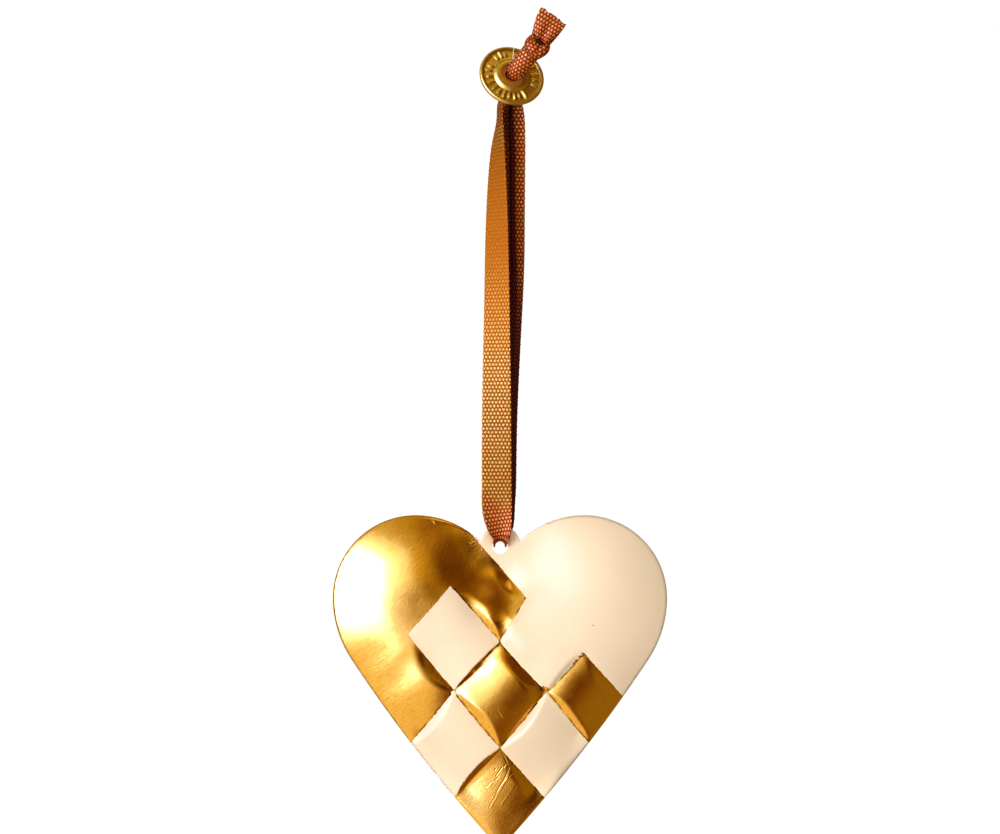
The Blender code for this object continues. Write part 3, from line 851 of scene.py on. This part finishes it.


# ---- the ribbon ------------------------------------------------------------------------------

# Each row: x, y, z in mm, the turn of the ribbon's face to the left in degrees, its width in mm,
# how far its edges curl round in degrees, the height of the fold along it in mm, and its dye and
# painted shade: -1 is plain orange, a darker copy without the painted highlights where the strand
# turns away from the lamps, 0 amber, 1 copper with its gaps darkened, and 2 maroon, painted shade
# where the front strand shadows the back one and where the ribbon gathers into the ear. Down the
# front, through the ear and up the back.
HOLE_Z = (EAR_RISE - WEAVE_DROP) / MM
TURN_UNDER = HOLE_Z + (HOLE_RADIUS - RIBBON_THICK / 2) / MM - 0.35
LOOP_ROUTE = [
    (2.1, 2.3, 4.2, 62, 4.2, 0, 0, 0.8),
    (1.0, 1.5, 2.6, 72, 5.4, 0, 0, 0.8),
    (0.2, 0.8, 0.6, 78, 6.6, 0, 0, 0.7),
    (-0.1, 0.3, -3.1, 79, 7, 0, 0, 0.4),
    (-0.5, -0.3, -10.1, 63, 7, 0, 0, -0.8),
    (-0.65, -0.9, -20, 50, 7, 0, 0, -1),
    (-0.7, -1.2, -31.9, 40, 7, 0, 0, -1),
    (-0.7, -1.5, -50, 30, 7, 0, 0, -0.5),
    (-0.8, -1.7, -70, 15, 7, 0, 0, 0),
    (-0.8, -1.8, -87.8, 3, 7, 0, 0, 0),
    (-0.7, -1.8, -94.5, 0, 7, 10, 0, 0.35),
    (-0.2, -1.7, -98.3, 0, 6.2, 30, 0, 0.6),
    (0.2, -1.45, -100.6, 0, 5.4, 60, 0, 1),
    (0.1, -1.0, TURN_UNDER + 0.5, 0, 4.8, 90, 0, 1.2),
    (0, 0, TURN_UNDER, 0, 4.7, 100, 0, 1.2),
    (0, 1.0, TURN_UNDER + 0.5, 0, 4.8, 90, 0, 1.2),
    (0.1, 1.45, -100.6, -5, 5.4, 60, 0, 1.6),
    (0.6, 1.7, -98.3, -20, 6.2, 30, 0, 1.9),
    (1.2, 1.8, -94.5, -45, 7, 10, 0, 2),
    (2.0, 1.9, -87.8, -60, 7, 0, 0, 2),
    (2.35, 2.1, -70, -60, 7, 0, 0, 2),
    (2.4, 2.3, -50, -40, 7, 0, -0.8, 1.6),
    (2.35, 2.6, -31.9, -8, 7, 0, -1.6, 0.6),
    (2.4, 2.8, -20, 2, 7, 0, -1.7, 0.4),
    (2.5, 3.1, -10.1, 6, 7, 0, -1.7, 0.4),
    (2.5, 3.4, -3.1, 18, 7, 0, -1.4, 0.4),
    (2.6, 3.6, 0.6, 35, 6.6, 0, -0.8, 0.8),
    (2.6, 3.4, 2.9, 52, 5.4, 0, 0, 0.8),
    (2.5, 2.8, 4.4, 60, 4.2, 0, 0, 0.8),
]
FOLD_SHADE = 1.6  # painted shade: a millimetre's depth of the fold adds this to the dye and shade value
LEAST_CURL = math.radians(0.5)
STEPS_BETWEEN = 24


def smooth_through(rows, steps):
    """A smooth (Catmull-Rom) run of rows through the given rows."""
    rows = [np.array(row, float) for row in rows]
    ends = [2 * rows[0] - rows[1]] + rows + [2 * rows[-1] - rows[-2]]
    run = []
    for before, here, there, after in zip(ends, ends[1:], ends[2:], ends[3:]):
        for t in np.arange(steps) / steps:
            pull = (there - before) * t + (2 * before - 5 * here + 4 * there - after) * t**2
            pull += (3 * here - before - 3 * there + after) * t**3
            run.append(here + pull / 2)
    return np.array(run + [rows[-1]])


def even_run(rows):
    """A smooth run through a route's rows at even steps, in metres and radians, and its length.

    Each row holds the place, the width, the curl, the fold and the dye and painted shade, and any
    turn.
    """
    route = np.array(rows, float)
    route[:, [0, 1, 2, 3, 5]] *= MM
    route[:, 4] = np.radians(route[:, 4])
    route[:, 7:] = np.radians(route[:, 7:])
    run = smooth_through(route, STEPS_BETWEEN)
    lengths = np.linalg.norm(np.diff(run[:, :3], axis=0), axis=1)
    along = np.concatenate([[0], np.cumsum(lengths)])
    count = max(2, round(along[-1] / CELL_LENGTH))
    wanted = np.linspace(0, along[-1], count + 1)
    return np.stack([np.interp(wanted, along, column) for column in run.T], 1), along[-1]


def bead_height(threads, rows):
    """The cloth's height, from 0 in the gaps to 1 on the warp's beads, in threads and rows."""
    nearest = np.full(threads.shape, np.inf)
    for shift in (0, 1):
        off_thread = np.mod(threads + 1 + shift, 2) - 1
        off_row = np.mod(rows + 1 + shift, 2) - 1
        nearest = np.minimum(nearest, (off_thread / BEAD_WIDE) ** 2 + (off_row / BEAD_LONG) ** 2)
    return np.sqrt(np.maximum(1 - nearest, 0))


def weave_strip(name, run, sides, thick=RIBBON_THICK, ragged=0.0):
    """A strip of the ribbon's cloth with raised threads, closed, along an even run of rows.

    Each row holds the place, the width, how far the edges curl round, how high the strip is
    folded along its length, and its dye and painted shade. The last row's threads end raggedly, by
    up to a length.
    """
    count = len(run) - 1
    threads = round(run[:, 3].max() / WARP_PITCH)
    strip = add_grid(name, threads * CELLS_A_THREAD, count)
    thicken(strip, (0, 0, 1))
    raw = rows_of(strip.data.vertices, "co")
    across = 2 * raw[:, 0]
    index = np.rint((raw[:, 1] + 0.5) * count).astype(int)
    back = raw[:, 2] > 0.5

    places = run[:, :3]
    heading = np.gradient(places, axis=0)
    heading /= np.linalg.norm(heading, axis=1, keepdims=True)
    sides = sides - heading * np.sum(sides * heading, axis=1, keepdims=True)
    sides /= np.linalg.norm(sides, axis=1, keepdims=True)
    outs = np.cross(heading, sides)

    thread = across * threads / 2
    row = index * (CELL_LENGTH / ROW_PITCH)
    curl = np.maximum(run[index, 4], LEAST_CURL)
    radius = run[index, 3] / 2 / curl
    edge = ease((np.abs(across) - EDGE_START) / (1 - EDGE_START))
    height = thick / 2 + BEAD_LIFT * (bead_height(thread + back, row) - 0.5)
    height = height * (1 - EDGE_THINNER * edge)
    reach = radius + np.where(back, 1, -1) * height
    scallop = 1 + edge * EDGE_SCALLOP * np.cos(2 * np.pi * row)
    angle = curl * across * scallop
    in_fold = np.exp(-(((across - FOLD_AT) / FOLD_REACH) ** 2))
    fold = run[index, 5] * in_fold
    sideways = (reach * np.sin(angle))[:, None]
    outwards = (radius - reach * np.cos(angle) + fold)[:, None]
    places = places[index] + sides[index] * sideways + outs[index] * outwards
    chance = np.random.default_rng(len(run)).random(threads + 1) - 0.5
    ends = chance[np.clip(np.rint(thread + threads / 2), 0, threads).astype(int)]
    places += heading[index] * (ragged * ends * (index == count))[:, None]
    place_vertices(strip.data, places)
    tell(strip.data, "weave", np.stack([thread, row, np.where(back, -1.0, 1.0)], 1))
    # The dye and shade value: the row's own, plus painted shade deep in the folds that go
    # backwards.
    tell(strip.data, "dye", run[index, 6] + np.maximum(-fold / MM, 0) * in_fold * FOLD_SHADE)
    face_outwards(strip)
    smooth(strip, 60)
    return strip


class RibbonSettings(PropertyGroup):
    """The ribbon's cloth."""

    amber: colour("Amber", "Most of the warp", (0.51, 0.27, 0.03))
    copper: colour("Copper", "Redder warp", (0.56, 0.12, 0.012))
    # Painted shade: the orange is a darker copy of the amber, for the run of the strand that turns
    # away from the lamps.
    shaded_orange: colour("Orange", "Where it is plain", (0.45, 0.166, 0.003))
    # Painted highlight: the crown is a pale colour laid on the tops of the warp beads in place of
    # the lamps' sheen.
    crown: colour("Crown", "The tops of the threads", (0.79, 0.51, 0.2))
    weft: colour("Weft", "In the gaps", (0.30, 0.11, 0.008))
    # Painted shade: the maroon darkens the folds, the gaps in the knot, and the back strand where
    # the front strand shadows it.
    shade_maroon: colour("Maroon", "Deep in the folds", (0.12, 0.003, 0.008))


def beads(finish, thread, row):
    """How far each point is from the middle of its warp bead, squared: 1 at the bead's edge."""
    offs = []
    for shift in (0, 1):
        off_thread = (finish.maths("FLOORED_MODULO", thread + (1 + shift), 2.0) - 1) / BEAD_WIDE
        off_row = (finish.maths("FLOORED_MODULO", row + (1 + shift), 2.0) - 1) / BEAD_LONG
        offs.append(off_thread * off_thread + off_row * off_row)
    return finish.maths("MINIMUM", *offs)


def woven_ribbon(settings):
    """A ribbed weave whose warp shows as rows of glossy beads."""
    finish = Finish("woven_ribbon", Specular_IOR_Level=0.7)
    weave = finish.add("ShaderNodeAttribute", {"attribute_name": "weave"}, "Vector")
    thread, row, side = finish.split(weave)
    thread = thread + (1 - side) * 0.5
    wander = finish.noise(finish.join(thread * 0.5, row * 0.5, side), 1.0, 3)
    away = beads(finish, thread + (wander - 0.5) * 0.9, row)
    dome = finish.maths("SQRT", finish.either(1 - away, 0.0))
    covered = finish.span(away, 1.15, 0.55)
    cell = finish.join(finish.maths("ROUND", thread), finish.maths("ROUND", row), side)
    chance = finish.add("ShaderNodeTexWhiteNoise", {"noise_dimensions": "3D"}, "Value", Vector=cell)
    patch = finish.noise(finish.join(thread * 0.16, row * 0.16, side), 1.0, 3)
    dye = finish.add("ShaderNodeAttribute", {"attribute_name": "dye"}, "Fac")
    redness = finish.span(patch * 0.8 + chance * 0.25 + dye * 0.7, 0.58, 0.8)
    warp = finish.blend(redness, settings.amber, settings.copper)
    # The plain run, where the dye and shade value is below 0: the painted shade of the turned-away
    # strand, with the painted highlights mostly left off.
    plain = finish.clamp(dye * -1, 0, 1)
    # Painted highlight: the tops of the beads are paled towards the crown colour, more on some by
    # chance, and hardly at all on the plain run.
    wear_and_sheen = finish.span(away, 0.5, 0.0) * (0.28 + chance * 0.6)
    warp = finish.blend(wear_and_sheen * (1 - plain * 0.8), warp, settings.crown)
    # Painted shade: the gaps darken towards maroon as the dye and shade value rises.
    weft = finish.blend(finish.clamp(dye * 0.4, 0, 1), settings.weft, settings.shade_maroon)
    cloth = finish.blend(covered, weft, warp)
    cloth = finish.blend(plain * 0.8, cloth, settings.shaded_orange)
    twist = finish.maths("SINE", (thread * 3.0 + row * 2.0) * math.pi)
    finish.set(
        # Painted shade: above 1 the whole cloth turns maroon.
        Base_Color=finish.blend(finish.clamp(dye - 1, 0, 1), cloth, settings.shade_maroon),
        Metallic=0.7 - covered * (1 - plain) * 0.6,
        Roughness=0.7 - covered * (1 - plain) * 0.33,
        Normal=finish.bump((dome * 0.9 + twist * 0.05) * (1 - plain * 0.3), 0.8, 0.00006),
    )
    return finish.material


def ribbon_material(context):
    """The ribbon's one material, made when it is first asked for."""
    found = bpy.data.materials.get("woven_ribbon")
    return found or woven_ribbon(context.scene.ribbon_settings)


class ORNAMENT_OT_loop(Operator):
    """Adds the ribbon's loop, as a cord that hangs from the knot and carries the heart"""

    bl_idname = "ornament.loop"
    bl_label = "Ribbon loop"

    def execute(self, context):
        run, length = even_run([row[:3] + row[4:] + row[3:4] for row in LOOP_ROUTE])
        turn = run[:, 7]
        sides = np.stack([np.cos(turn), -np.sin(turn), np.zeros_like(turn)], 1)
        loop = weave_strip("ribbon_loop", run, sides)
        loop.data.materials.append(ribbon_material(context))
        finish_piece(loop, "ribbon_cloth", "ribbon")
        return {"FINISHED"}


# The knot. Each row: x, y, z in mm, the strip's width in mm, how far its edges curl round in
# degrees, and the height of the fold along it in mm.
NECK_ROUTE = [
    (2.3, 3.3, 3.0, 4.0, 30, 0),
    (2.4, 1.9, 4.3, 4.2, 50, 0),
    (2.5, -0.4, 5.8, 4.2, 65, 0),
    (2.8, -2.9, 7.3, 4.4, 72, 0),
    (4.5, -4.9, 9.4, 4.9, 60, 0),
    (6.6, -6.1, 11.9, 5.1, 58, 0),
    (8.9, -6.5, 14.6, 4.8, 58, 0),
]
NECK_BACKING = [(x, y + 1.0, z, 4.4, 10, 0) for x, y, z, *_ in NECK_ROUTE[2:]]
NECK_SIDE = Vector((0.75, 0, -0.66))  # the gathered ribbon's width lies this way
TAIL_ROUTE = [
    (8.8, -6.8, 14.6, 4.2, 60, 0.9),
    (9.7, -7.1, 16.4, 5.1, 42, 0.9),
    (10.9, -7.1, 18.5, 6.2, 20, 0.5),
    (11.9, -7.0, 20.1, 6.9, 8, 0.15),
    (12.6, -6.9, 21.1, 7.1, 4, 0),
]
BACK_TAIL_ROUTE = [
    (9.0, -5.6, 14.4, 4.2, 40, 0),
    (10.6, -5.0, 17.4, 5.8, 15, 0),
    (12.2, -4.9, 20.4, 7.0, 5, 0.2),
]
TAIL_SIDE = Vector((0.79, 0, -0.62))
TAIL_RAGGED = 0.3 * MM
KNOT_PLACE = Vector((8.7, -6.4, 14.2)) * MM
KNOT_CORE = 1.6 * MM
# Turns round the knot's axis: the angle from the front to the right in degrees, the height up the
# axis, the reach from it, the width in mm and the curl in degrees
FIRST_WRAP = [
    (-190, 1.6, 1.6, 3.2, 50),
    (-135, 0.9, 2.2, 3.6, 55),
    (-90, -0.2, 2.55, 3.9, 60),
    (-45, -0.7, 2.5, 3.7, 60),
    (0, -0.9, 2.4, 3.3, 60),
    (40, -1.4, 2.1, 3.0, 60),
    (75, -1.8, 1.5, 2.8, 50),
]
SECOND_WRAP = [
    (-25, -1.6, 1.1, 2.8, 50),
    (15, -1.3, 2.1, 3.2, 60),
    (55, -0.5, 2.7, 3.9, 65),
    (95, 0.2, 2.7, 4.0, 65),
    (140, 0.6, 2.4, 3.6, 60),
    (200, 0.4, 1.9, 3.2, 50),
]
WRAP_THICK = 0.7 * MM
# Dye and painted shade of the knot and the tails: copper, with the gaps darkened towards maroon.
KNOT_DYE_AND_SHADE = 1.0
TAIL_DYE_AND_SHADE = 0.8


def strip_along(name, rows, side, dye, thick=RIBBON_THICK, ragged=0.0):
    """A strip of the ribbon through rows of places, whose width lies along one side vector."""
    run, _ = even_run([(*row, dye) for row in rows])
    return weave_strip(name, run, np.array([side] * len(run)), thick, ragged)


def wrap_round(name, turns):
    """A strip wound round the knot's axis."""
    up = (Vector(TAIL_ROUTE[-1][:3]) * MM - DISC_PLACE).normalized()
    right = up.cross(Vector((0, -1, 0))).normalized()
    front = right.cross(up)
    rows = []
    for angle, height, reach, width, curl in turns:
        turn = math.radians(angle)
        spoke = right * math.sin(turn) + front * math.cos(turn)
        place = KNOT_PLACE / MM + up * height + spoke * reach
        rows.append((*place, width, curl, 0))
    return strip_along(name, rows, -up, KNOT_DYE_AND_SHADE, WRAP_THICK)


class ORNAMENT_OT_knot(Operator):
    """Adds the gathered neck, the knot and the ribbon's two ends"""

    bl_idname = "ornament.knot"
    bl_label = "Ribbon knot"

    def execute(self, context):
        strips = [
            strip_along("ribbon_knot", NECK_ROUTE, NECK_SIDE, KNOT_DYE_AND_SHADE, 0.55 * MM),
            # The backing is 1.6: painted shade, mostly maroon, behind the neck where it passes
            # through the disc.
            strip_along("neck_backing", NECK_BACKING, NECK_SIDE, 1.6, 0.7 * MM),
            strip_along("front_tail", TAIL_ROUTE, TAIL_SIDE, TAIL_DYE_AND_SHADE, ragged=TAIL_RAGGED),
            strip_along("back_tail", BACK_TAIL_ROUTE, TAIL_SIDE, TAIL_DYE_AND_SHADE, ragged=TAIL_RAGGED),
            wrap_round("first_wrap", FIRST_WRAP),
            wrap_round("second_wrap", SECOND_WRAP),
        ]
        deselect()
        bpy.ops.mesh.primitive_ico_sphere_add(subdivisions=3, radius=KNOT_CORE, location=KNOT_PLACE)
        core = name_new("knot_core")
        # Painted shade: the core is all maroon, a dark piece standing for the hollow in the knot.
        tell(core.data, "dye", np.full(len(core.data.vertices), 2.0))
        strips.append(core)
        bpy.ops.object.transform_apply(location=True, rotation=False, scale=False)
        deselect()
        for strip in strips:
            strip.select_set(True)
        knot = strips[0]
        context.view_layer.objects.active = knot
        bpy.ops.object.join()
        knot.data.materials.append(ribbon_material(context))
        finish_piece(knot, "ribbon_cloth", "ribbon")
        return {"FINISHED"}


# ---- the disc --------------------------------------------------------------------------------

# The disc's turned profile in mm: radius, and height along its axis towards the front
DISC_PROFILE = [
    (1.75, 0.0),
    (1.7, 0.3),
    (2.0, 0.6),
    (2.8, 0.82),
    (3.6, 0.8),
    (4.0, 0.62),
    (4.25, 0.3),
    (4.55, 0.08),
    (5.6, 0.0),
    (6.7, -0.05),
    (7.0, 0.2),
    (7.25, 0.34),
    (7.5, 0.33),
    (7.72, 0.12),
    (7.75, -0.15),
    (7.75, -0.45),
    (7.6, -0.7),
    (7.2, -0.72),
    (5.6, -0.62),
    (4.4, -0.58),
    (3.9, -0.3),
    (3.4, -0.12),
]
DISC_FACE = (1, 12)  # the rows of the profile that face forwards
PROFILE_STEPS = 4
DISC_TURNS = 256
# Plain strokes stamped round the disc: the angle in degrees, and the middle's radius, the length,
# the half width and the height in mm
DISC_STROKES = [
    (124, 5.8, 1.0, 0.30, 0.26),
    (111, 6.0, 1.3, 0.26, 0.30),
    (99, 5.8, 0.6, 0.30, 0.20),
    (153, 5.5, 0.7, 0.40, 0.34),
    (166, 5.7, 0.9, 0.30, 0.28),
    (182, 5.5, 0.5, 0.42, 0.36),
    (199, 5.7, 0.7, 0.30, 0.22),
    (216, 5.6, 0.9, 0.26, 0.30),
    (230, 5.8, 0.4, 0.34, 0.26),
    (244, 5.6, 1.3, 0.30, 0.34),
    (257, 5.5, 0.6, 0.38, 0.30),
    (270, 5.7, 0.9, 0.28, 0.34),
    (283, 5.5, 0.5, 0.34, 0.24),
    (297, 5.6, 1.4, 0.42, 0.38),
    (334, 5.8, 1.2, 0.26, 0.30),
    (348, 5.6, 0.6, 0.30, 0.24),
    (3, 5.9, 1.1, 0.28, 0.30),
    (24, 5.8, 0.8, 0.26, 0.24),
]
SLIT_ANGLE = 79
SLIT_START = 2.2 * MM  # from the disc's middle, behind the knot's neck
SLIT_END = 8.25 * MM  # past the disc's edge
SLIT_WIDTH = 0.3 * MM


def disc_matrix():
    """Places the disc and tips its front, local +Z, forward, up and to the right."""
    front = Vector(
        (
            math.sin(DISC_TILT) * math.cos(DISC_TIP),
            -math.cos(DISC_TILT),
            math.sin(DISC_TILT) * math.sin(DISC_TIP),
        )
    )
    return Matrix.Translation(DISC_PLACE) @ front.to_track_quat("Z", "Y").to_matrix().to_4x4()


def stroke_height(x, y):
    """How far the stamped strokes stand out of the disc's face."""
    height = np.zeros(x.shape)
    for angle, radius, length, half, tall in DISC_STROKES:
        spoke = math.radians(angle)
        along = x * math.cos(spoke) + y * math.sin(spoke)
        nearest = np.clip(along, (radius - length / 2) * MM, (radius + length / 2) * MM)
        distance = np.hypot(x - nearest * math.cos(spoke), y - nearest * math.sin(spoke))
        height = np.maximum(height, tall * MM * ease(1 - distance / (2 * half * MM)))
    return height


class DiscSettings(PropertyGroup):
    """The stamped disc."""

    wear_and_sheen: colour("Worn brass", "Raised and rubbed places", (0.77, 0.57, 0.21))
    aged: colour("Aged brass", "Everywhere else", (0.80, 0.60, 0.24))


def aged_brass(settings):
    """Polished brass, glossier where it is rubbed."""
    finish = Finish("aged_brass", Metallic=1.0)
    place = finish.place()
    cloud = finish.noise(place, 320, 4, 0.6)
    raised = finish.add("ShaderNodeAttribute", {"attribute_name": "raised"}, "Fac")
    tone = finish.span(cloud + raised * 0.25, 0.35, 0.75)
    finish.set(
        Base_Color=finish.blend(tone, settings.aged, settings.wear_and_sheen),
        Roughness=0.40 - tone * 0.10,
        Normal=finish.bump(finish.noise(place, 1500, 3), 0.15, 0.0001),
    )
    return finish.material


class ORNAMENT_OT_disc(Operator):
    """Adds the stamped disc that the ribbon's knot holds"""

    bl_idname = "ornament.disc"
    bl_label = "Disc"

    def execute(self, context):
        profile = smooth_through(DISC_PROFILE + DISC_PROFILE[:1], PROFILE_STEPS) * MM
        count = len(profile) - 1
        disc = add_grid("stamped_disc", DISC_TURNS, count)
        raw = rows_of(disc.data.vertices, "co")
        turn = 2 * np.pi * np.rint((raw[:, 0] + 0.5) * DISC_TURNS) / DISC_TURNS
        ring = np.rint((raw[:, 1] + 0.5) * count).astype(int)
        x = profile[ring, 0] * np.cos(turn)
        y = profile[ring, 0] * np.sin(turn)
        start, end = (row * PROFILE_STEPS for row in DISC_FACE)
        raised = np.where((ring >= start) & (ring < end), stroke_height(x, y), 0)
        place_vertices(disc.data, np.stack([x, y, profile[ring, 1] + raised], 1))
        tell(disc.data, "raised", raised / raised.max())
        edit_whole(disc, bpy.ops.mesh.remove_doubles, threshold=0.001 * MM)
        face_outwards(disc)
        disc.data.materials.append(aged_brass(context.scene.disc_settings))

        deselect()
        bpy.ops.mesh.primitive_cube_add(size=1)
        cutter = name_new("slit_cutter")
        outwards = Matrix.Translation(((SLIT_START + SLIT_END) / 2, 0, 0))
        turned = Matrix.Rotation(math.radians(SLIT_ANGLE), 4, "Z") @ outwards
        size = (SLIT_END - SLIT_START, SLIT_WIDTH, 4 * MM, 1)
        cutter.data.transform(turned @ Matrix.Diagonal(size))
        activate(disc)
        cut = disc.modifiers.new("slit", "BOOLEAN")
        cut.operation = "DIFFERENCE"
        cut.solver = "EXACT"
        cut.object = cutter
        bpy.ops.object.modifier_apply(modifier=cut.name)
        bpy.data.objects.remove(cutter)
        disc.data.transform(disc_matrix())
        smooth(disc, 40)
        finish_piece(disc, "disc_brass", "disc")
        return {"FINISHED"}


# ---- the stage -------------------------------------------------------------------------------


class StageSettings(PropertyGroup):
    """Camera, light and floor."""

    lens: FloatProperty(name="Lens", description="Focal length in mm", default=150)
    camera_distance: FloatProperty(
        name="Camera distance", description="From the ornament", default=0.983, unit="LENGTH"
    )
    camera_height: FloatProperty(
        name="Camera height", description="Above the origin", default=-0.0729, unit="LENGTH"
    )
    softbox: FloatProperty(name="Softbox", description="Its brightness in mirrors", default=3.2)
    halo: FloatProperty(name="Halo", description="Brightness round it in mirrors", default=0.5)
    key: FloatProperty(name="Key", description="Light on enamel and cloth, in watts", default=9.8)
    fill: FloatProperty(name="Fill", description="Light on the whole front, in watts", default=57)
    back: FloatProperty(name="Back", description="Light on the hidden side, in watts", default=22)
    contrast: FloatProperty(name="Contrast", description="Power of the tone curve", default=1.35)


TONE_LEVELS = (0.04, 0.12, 0.25, 0.45, 0.7)
# Lamps that only mirrors show: the colour, the distance from the aim in metres, and the angles of
# the edges round the aim and above it in degrees
MIRRORED_LAMPS = {
    "softbox": ((1.0, 1.05, 2.0), 1.2, (-80, -27), (-18, 28)),
    "halo": ((0.8, 1.2, 2.0), 1.3, (-86, -5), (-25, 40)),
}
# Lamps that no mirror shows: the distance, the azimuth, the elevation, and the size in metres
MATT_LAMPS = {
    "key": (1.3, -40, 0, 0.6),
    "fill": (1.2, 5, 5, 4.0),
    "back": (1.2, 180, 10, 1.0),
}
ROOM_RADIUS = 6
FLOOR_DROP = 0.6


def add_panel(name, aim, distance, azimuth, elevation, size):
    """A lamp of white cloth, which looks at the aim from an azimuth and elevation in degrees."""
    turn, rise = math.radians(azimuth), math.radians(elevation)
    level = math.cos(rise)
    away = Vector((math.sin(turn) * level, -math.cos(turn) * level, math.sin(rise)))
    deselect()
    bpy.ops.object.light_add(type="AREA", location=aim + away * distance)
    light = bpy.context.object
    light.name = name
    light.rotation_euler = away.to_track_quat("Z", "Y").to_euler()
    light.data.shape = "RECTANGLE"
    light.data.size, light.data.size_y = size
    light.visible_camera = False
    return light


def add_mirrored(name, aim, brightness, tint, distance, azimuths, elevations):
    """A lamp that only glossy surfaces see, from its edges' angles round and above the aim."""
    spans = [(high - low) / 2 for low, high in (azimuths, elevations)]
    size = [2 * distance * math.tan(math.radians(span)) for span in spans]
    light = add_panel(name, aim, distance, sum(azimuths) / 2, sum(elevations) / 2, size)
    light.data.energy = brightness * math.pi * size[0] * size[1]
    light.data.color = tint
    light.visible_diffuse = False


def add_matt(name, aim, energy, distance, azimuth, elevation, size):
    """A lamp that lights enamel and cloth, and that no mirror shows."""
    light = add_panel(name, aim, distance, azimuth, elevation, (size, size))
    light.data.energy = energy
    light.visible_glossy = False


def add_surroundings():
    """A warm, mostly dark studio with a brighter floor to the left, which the gold mirrors.

    Each step crosses from one colour to another, from left (-1) to right (1) along x, or from
    below to above along z.
    """
    world = bpy.data.worlds.new("studio")
    bpy.context.scene.world = world
    world.use_nodes = True
    tree = Tree(world.node_tree)
    x, y, z = tree.split(tree.add("ShaderNodeTexCoord", output="Generated"))

    def step(along, start, end, first, second):
        return tree.blend(tree.span(along, start, end), first, second)

    floor = step(x, -0.2, 0.3, (1.0, 0.92, 0.55, 1), (0.3, 0.155, 0.015, 1))
    floor = step(x, 0.36, 0.6, floor, (0.42, 0.31, 0.045, 1))
    low = step(x, 0.0, 0.3, (0.52, 0.37, 0.08, 1), (0.1, 0.045, 0.003, 1))
    low = step(x, 0.4, 0.6, low, (0.4, 0.28, 0.02, 1))
    level = step(x, -0.25, 0.2, (0.97, 1.0, 0.75, 1), (0.77, 0.6, 0.09, 1))
    level = step(x, 0.2, 0.6, level, (0.2, 0.1, 0.008, 1))
    above = step(x, -0.4, -0.1, (0.76, 0.7, 0.32, 1), (0.62, 0.48, 0.04, 1))
    above = step(x, -0.05, 0.18, above, (0.25, 0.125, 0.01, 1))
    left = step(z, -0.03, 0.09, low, level)
    right = step(z, 0.1, 0.34, low, level)
    front = step(x, 0.08, 0.2, left, right)
    front = step(z, -0.4, -0.12, floor, front)
    front = step(z, 0.5, 0.75, front, above)
    crown = step(z, 0.8, 0.87, front, (1.1, 0.9, 0.33, 1))
    front = step(x, 0.1, 0.16, front, crown)
    whole = step(y, 0.1, 0.5, front, (0.4, 0.3, 0.14, 1))
    tree.feed(tree.nodes["Background"].inputs["Color"], whole)
    world.cycles_visibility.diffuse = False


class ORNAMENT_OT_stage(Operator):
    """Adds the camera, the studio light and the pale floor"""

    bl_idname = "ornament.stage"
    bl_label = "Stage"

    def execute(self, context):
        settings = context.scene.stage_settings
        deselect()
        aim = Vector((0, 0, settings.camera_height))
        bpy.ops.object.camera_add(location=aim - Vector((0, settings.camera_distance, 0)))
        camera = context.object
        camera.name = "camera"
        camera.rotation_euler = (math.pi / 2, 0, 0)
        camera.data.lens = settings.lens
        context.scene.camera = camera
        view = context.scene.view_settings
        view.view_transform = "Standard"
        view.use_curve_mapping = True
        tone = view.curve_mapping.curves[3]
        for level in TONE_LEVELS:
            tone.points.new(level, level**settings.contrast)
        view.curve_mapping.update()

        for name, lamp in MIRRORED_LAMPS.items():
            add_mirrored(name, aim, getattr(settings, name), *lamp)
        for name, lamp in MATT_LAMPS.items():
            add_matt(name, aim, getattr(settings, name), *lamp)
        add_surroundings()

        deselect()
        bpy.ops.mesh.primitive_uv_sphere_add(segments=64, ring_count=32, radius=ROOM_RADIUS)
        room = name_new("pale_room")
        places = rows_of(room.data.vertices, "co")
        places[:, 2] = np.maximum(places[:, 2], -FLOOR_DROP)
        place_vertices(room.data, places)
        glow = Finish("pale_room", Roughness=1.0, Emission_Strength=1.0)
        glow.set(Base_Color=(0, 0, 0, 1), Emission_Color=(1, 1, 1, 1))
        room.data.materials.append(glow.material)
        room.visible_diffuse = False
        room.visible_glossy = False
        room.visible_transmission = False
        room.visible_shadow = False
        return {"FINISHED"}


class ORNAMENT_PT_panel(Panel):
    """The ornament's pieces and settings"""

    bl_idname = "ORNAMENT_PT_panel"
    bl_label = "Braided heart ornament"
    bl_space_type = "VIEW_3D"
    bl_region_type = "UI"
    bl_category = "Ornament"

    def draw(self, context):
        column = self.layout.column()
        for made in OPERATORS:
            column.operator(made.bl_idname)
        for name in GROUPS:
            settings = getattr(context.scene, name)
            for key in settings.bl_rna.properties.keys():
                if key not in ("name", "rna_type"):
                    column.prop(settings, key)


OPERATORS = (
    ORNAMENT_OT_stage,
    ORNAMENT_OT_knot,
    ORNAMENT_OT_loop,
    ORNAMENT_OT_disc,
    ORNAMENT_OT_heart,
)
GROUPS = {
    "heart_settings": HeartSettings,
    "ribbon_settings": RibbonSettings,
    "disc_settings": DiscSettings,
    "stage_settings": StageSettings,
}
CLASSES = (*GROUPS.values(), *OPERATORS, ORNAMENT_PT_panel)


def register():
    for made in CLASSES:
        bpy.utils.register_class(made)
    for name, group in GROUPS.items():
        setattr(bpy.types.Scene, name, PointerProperty(type=group))


def unregister():
    for name in GROUPS:
        delattr(bpy.types.Scene, name)
    for made in reversed(CLASSES):
        bpy.utils.unregister_class(made)


def main():
    register()
    bpy.ops.ornament.stage()
    bpy.ops.ornament.knot()
    bpy.ops.ornament.loop()
    bpy.ops.ornament.disc()
    bpy.ops.ornament.heart()


if __name__ == "__main__":
    main()
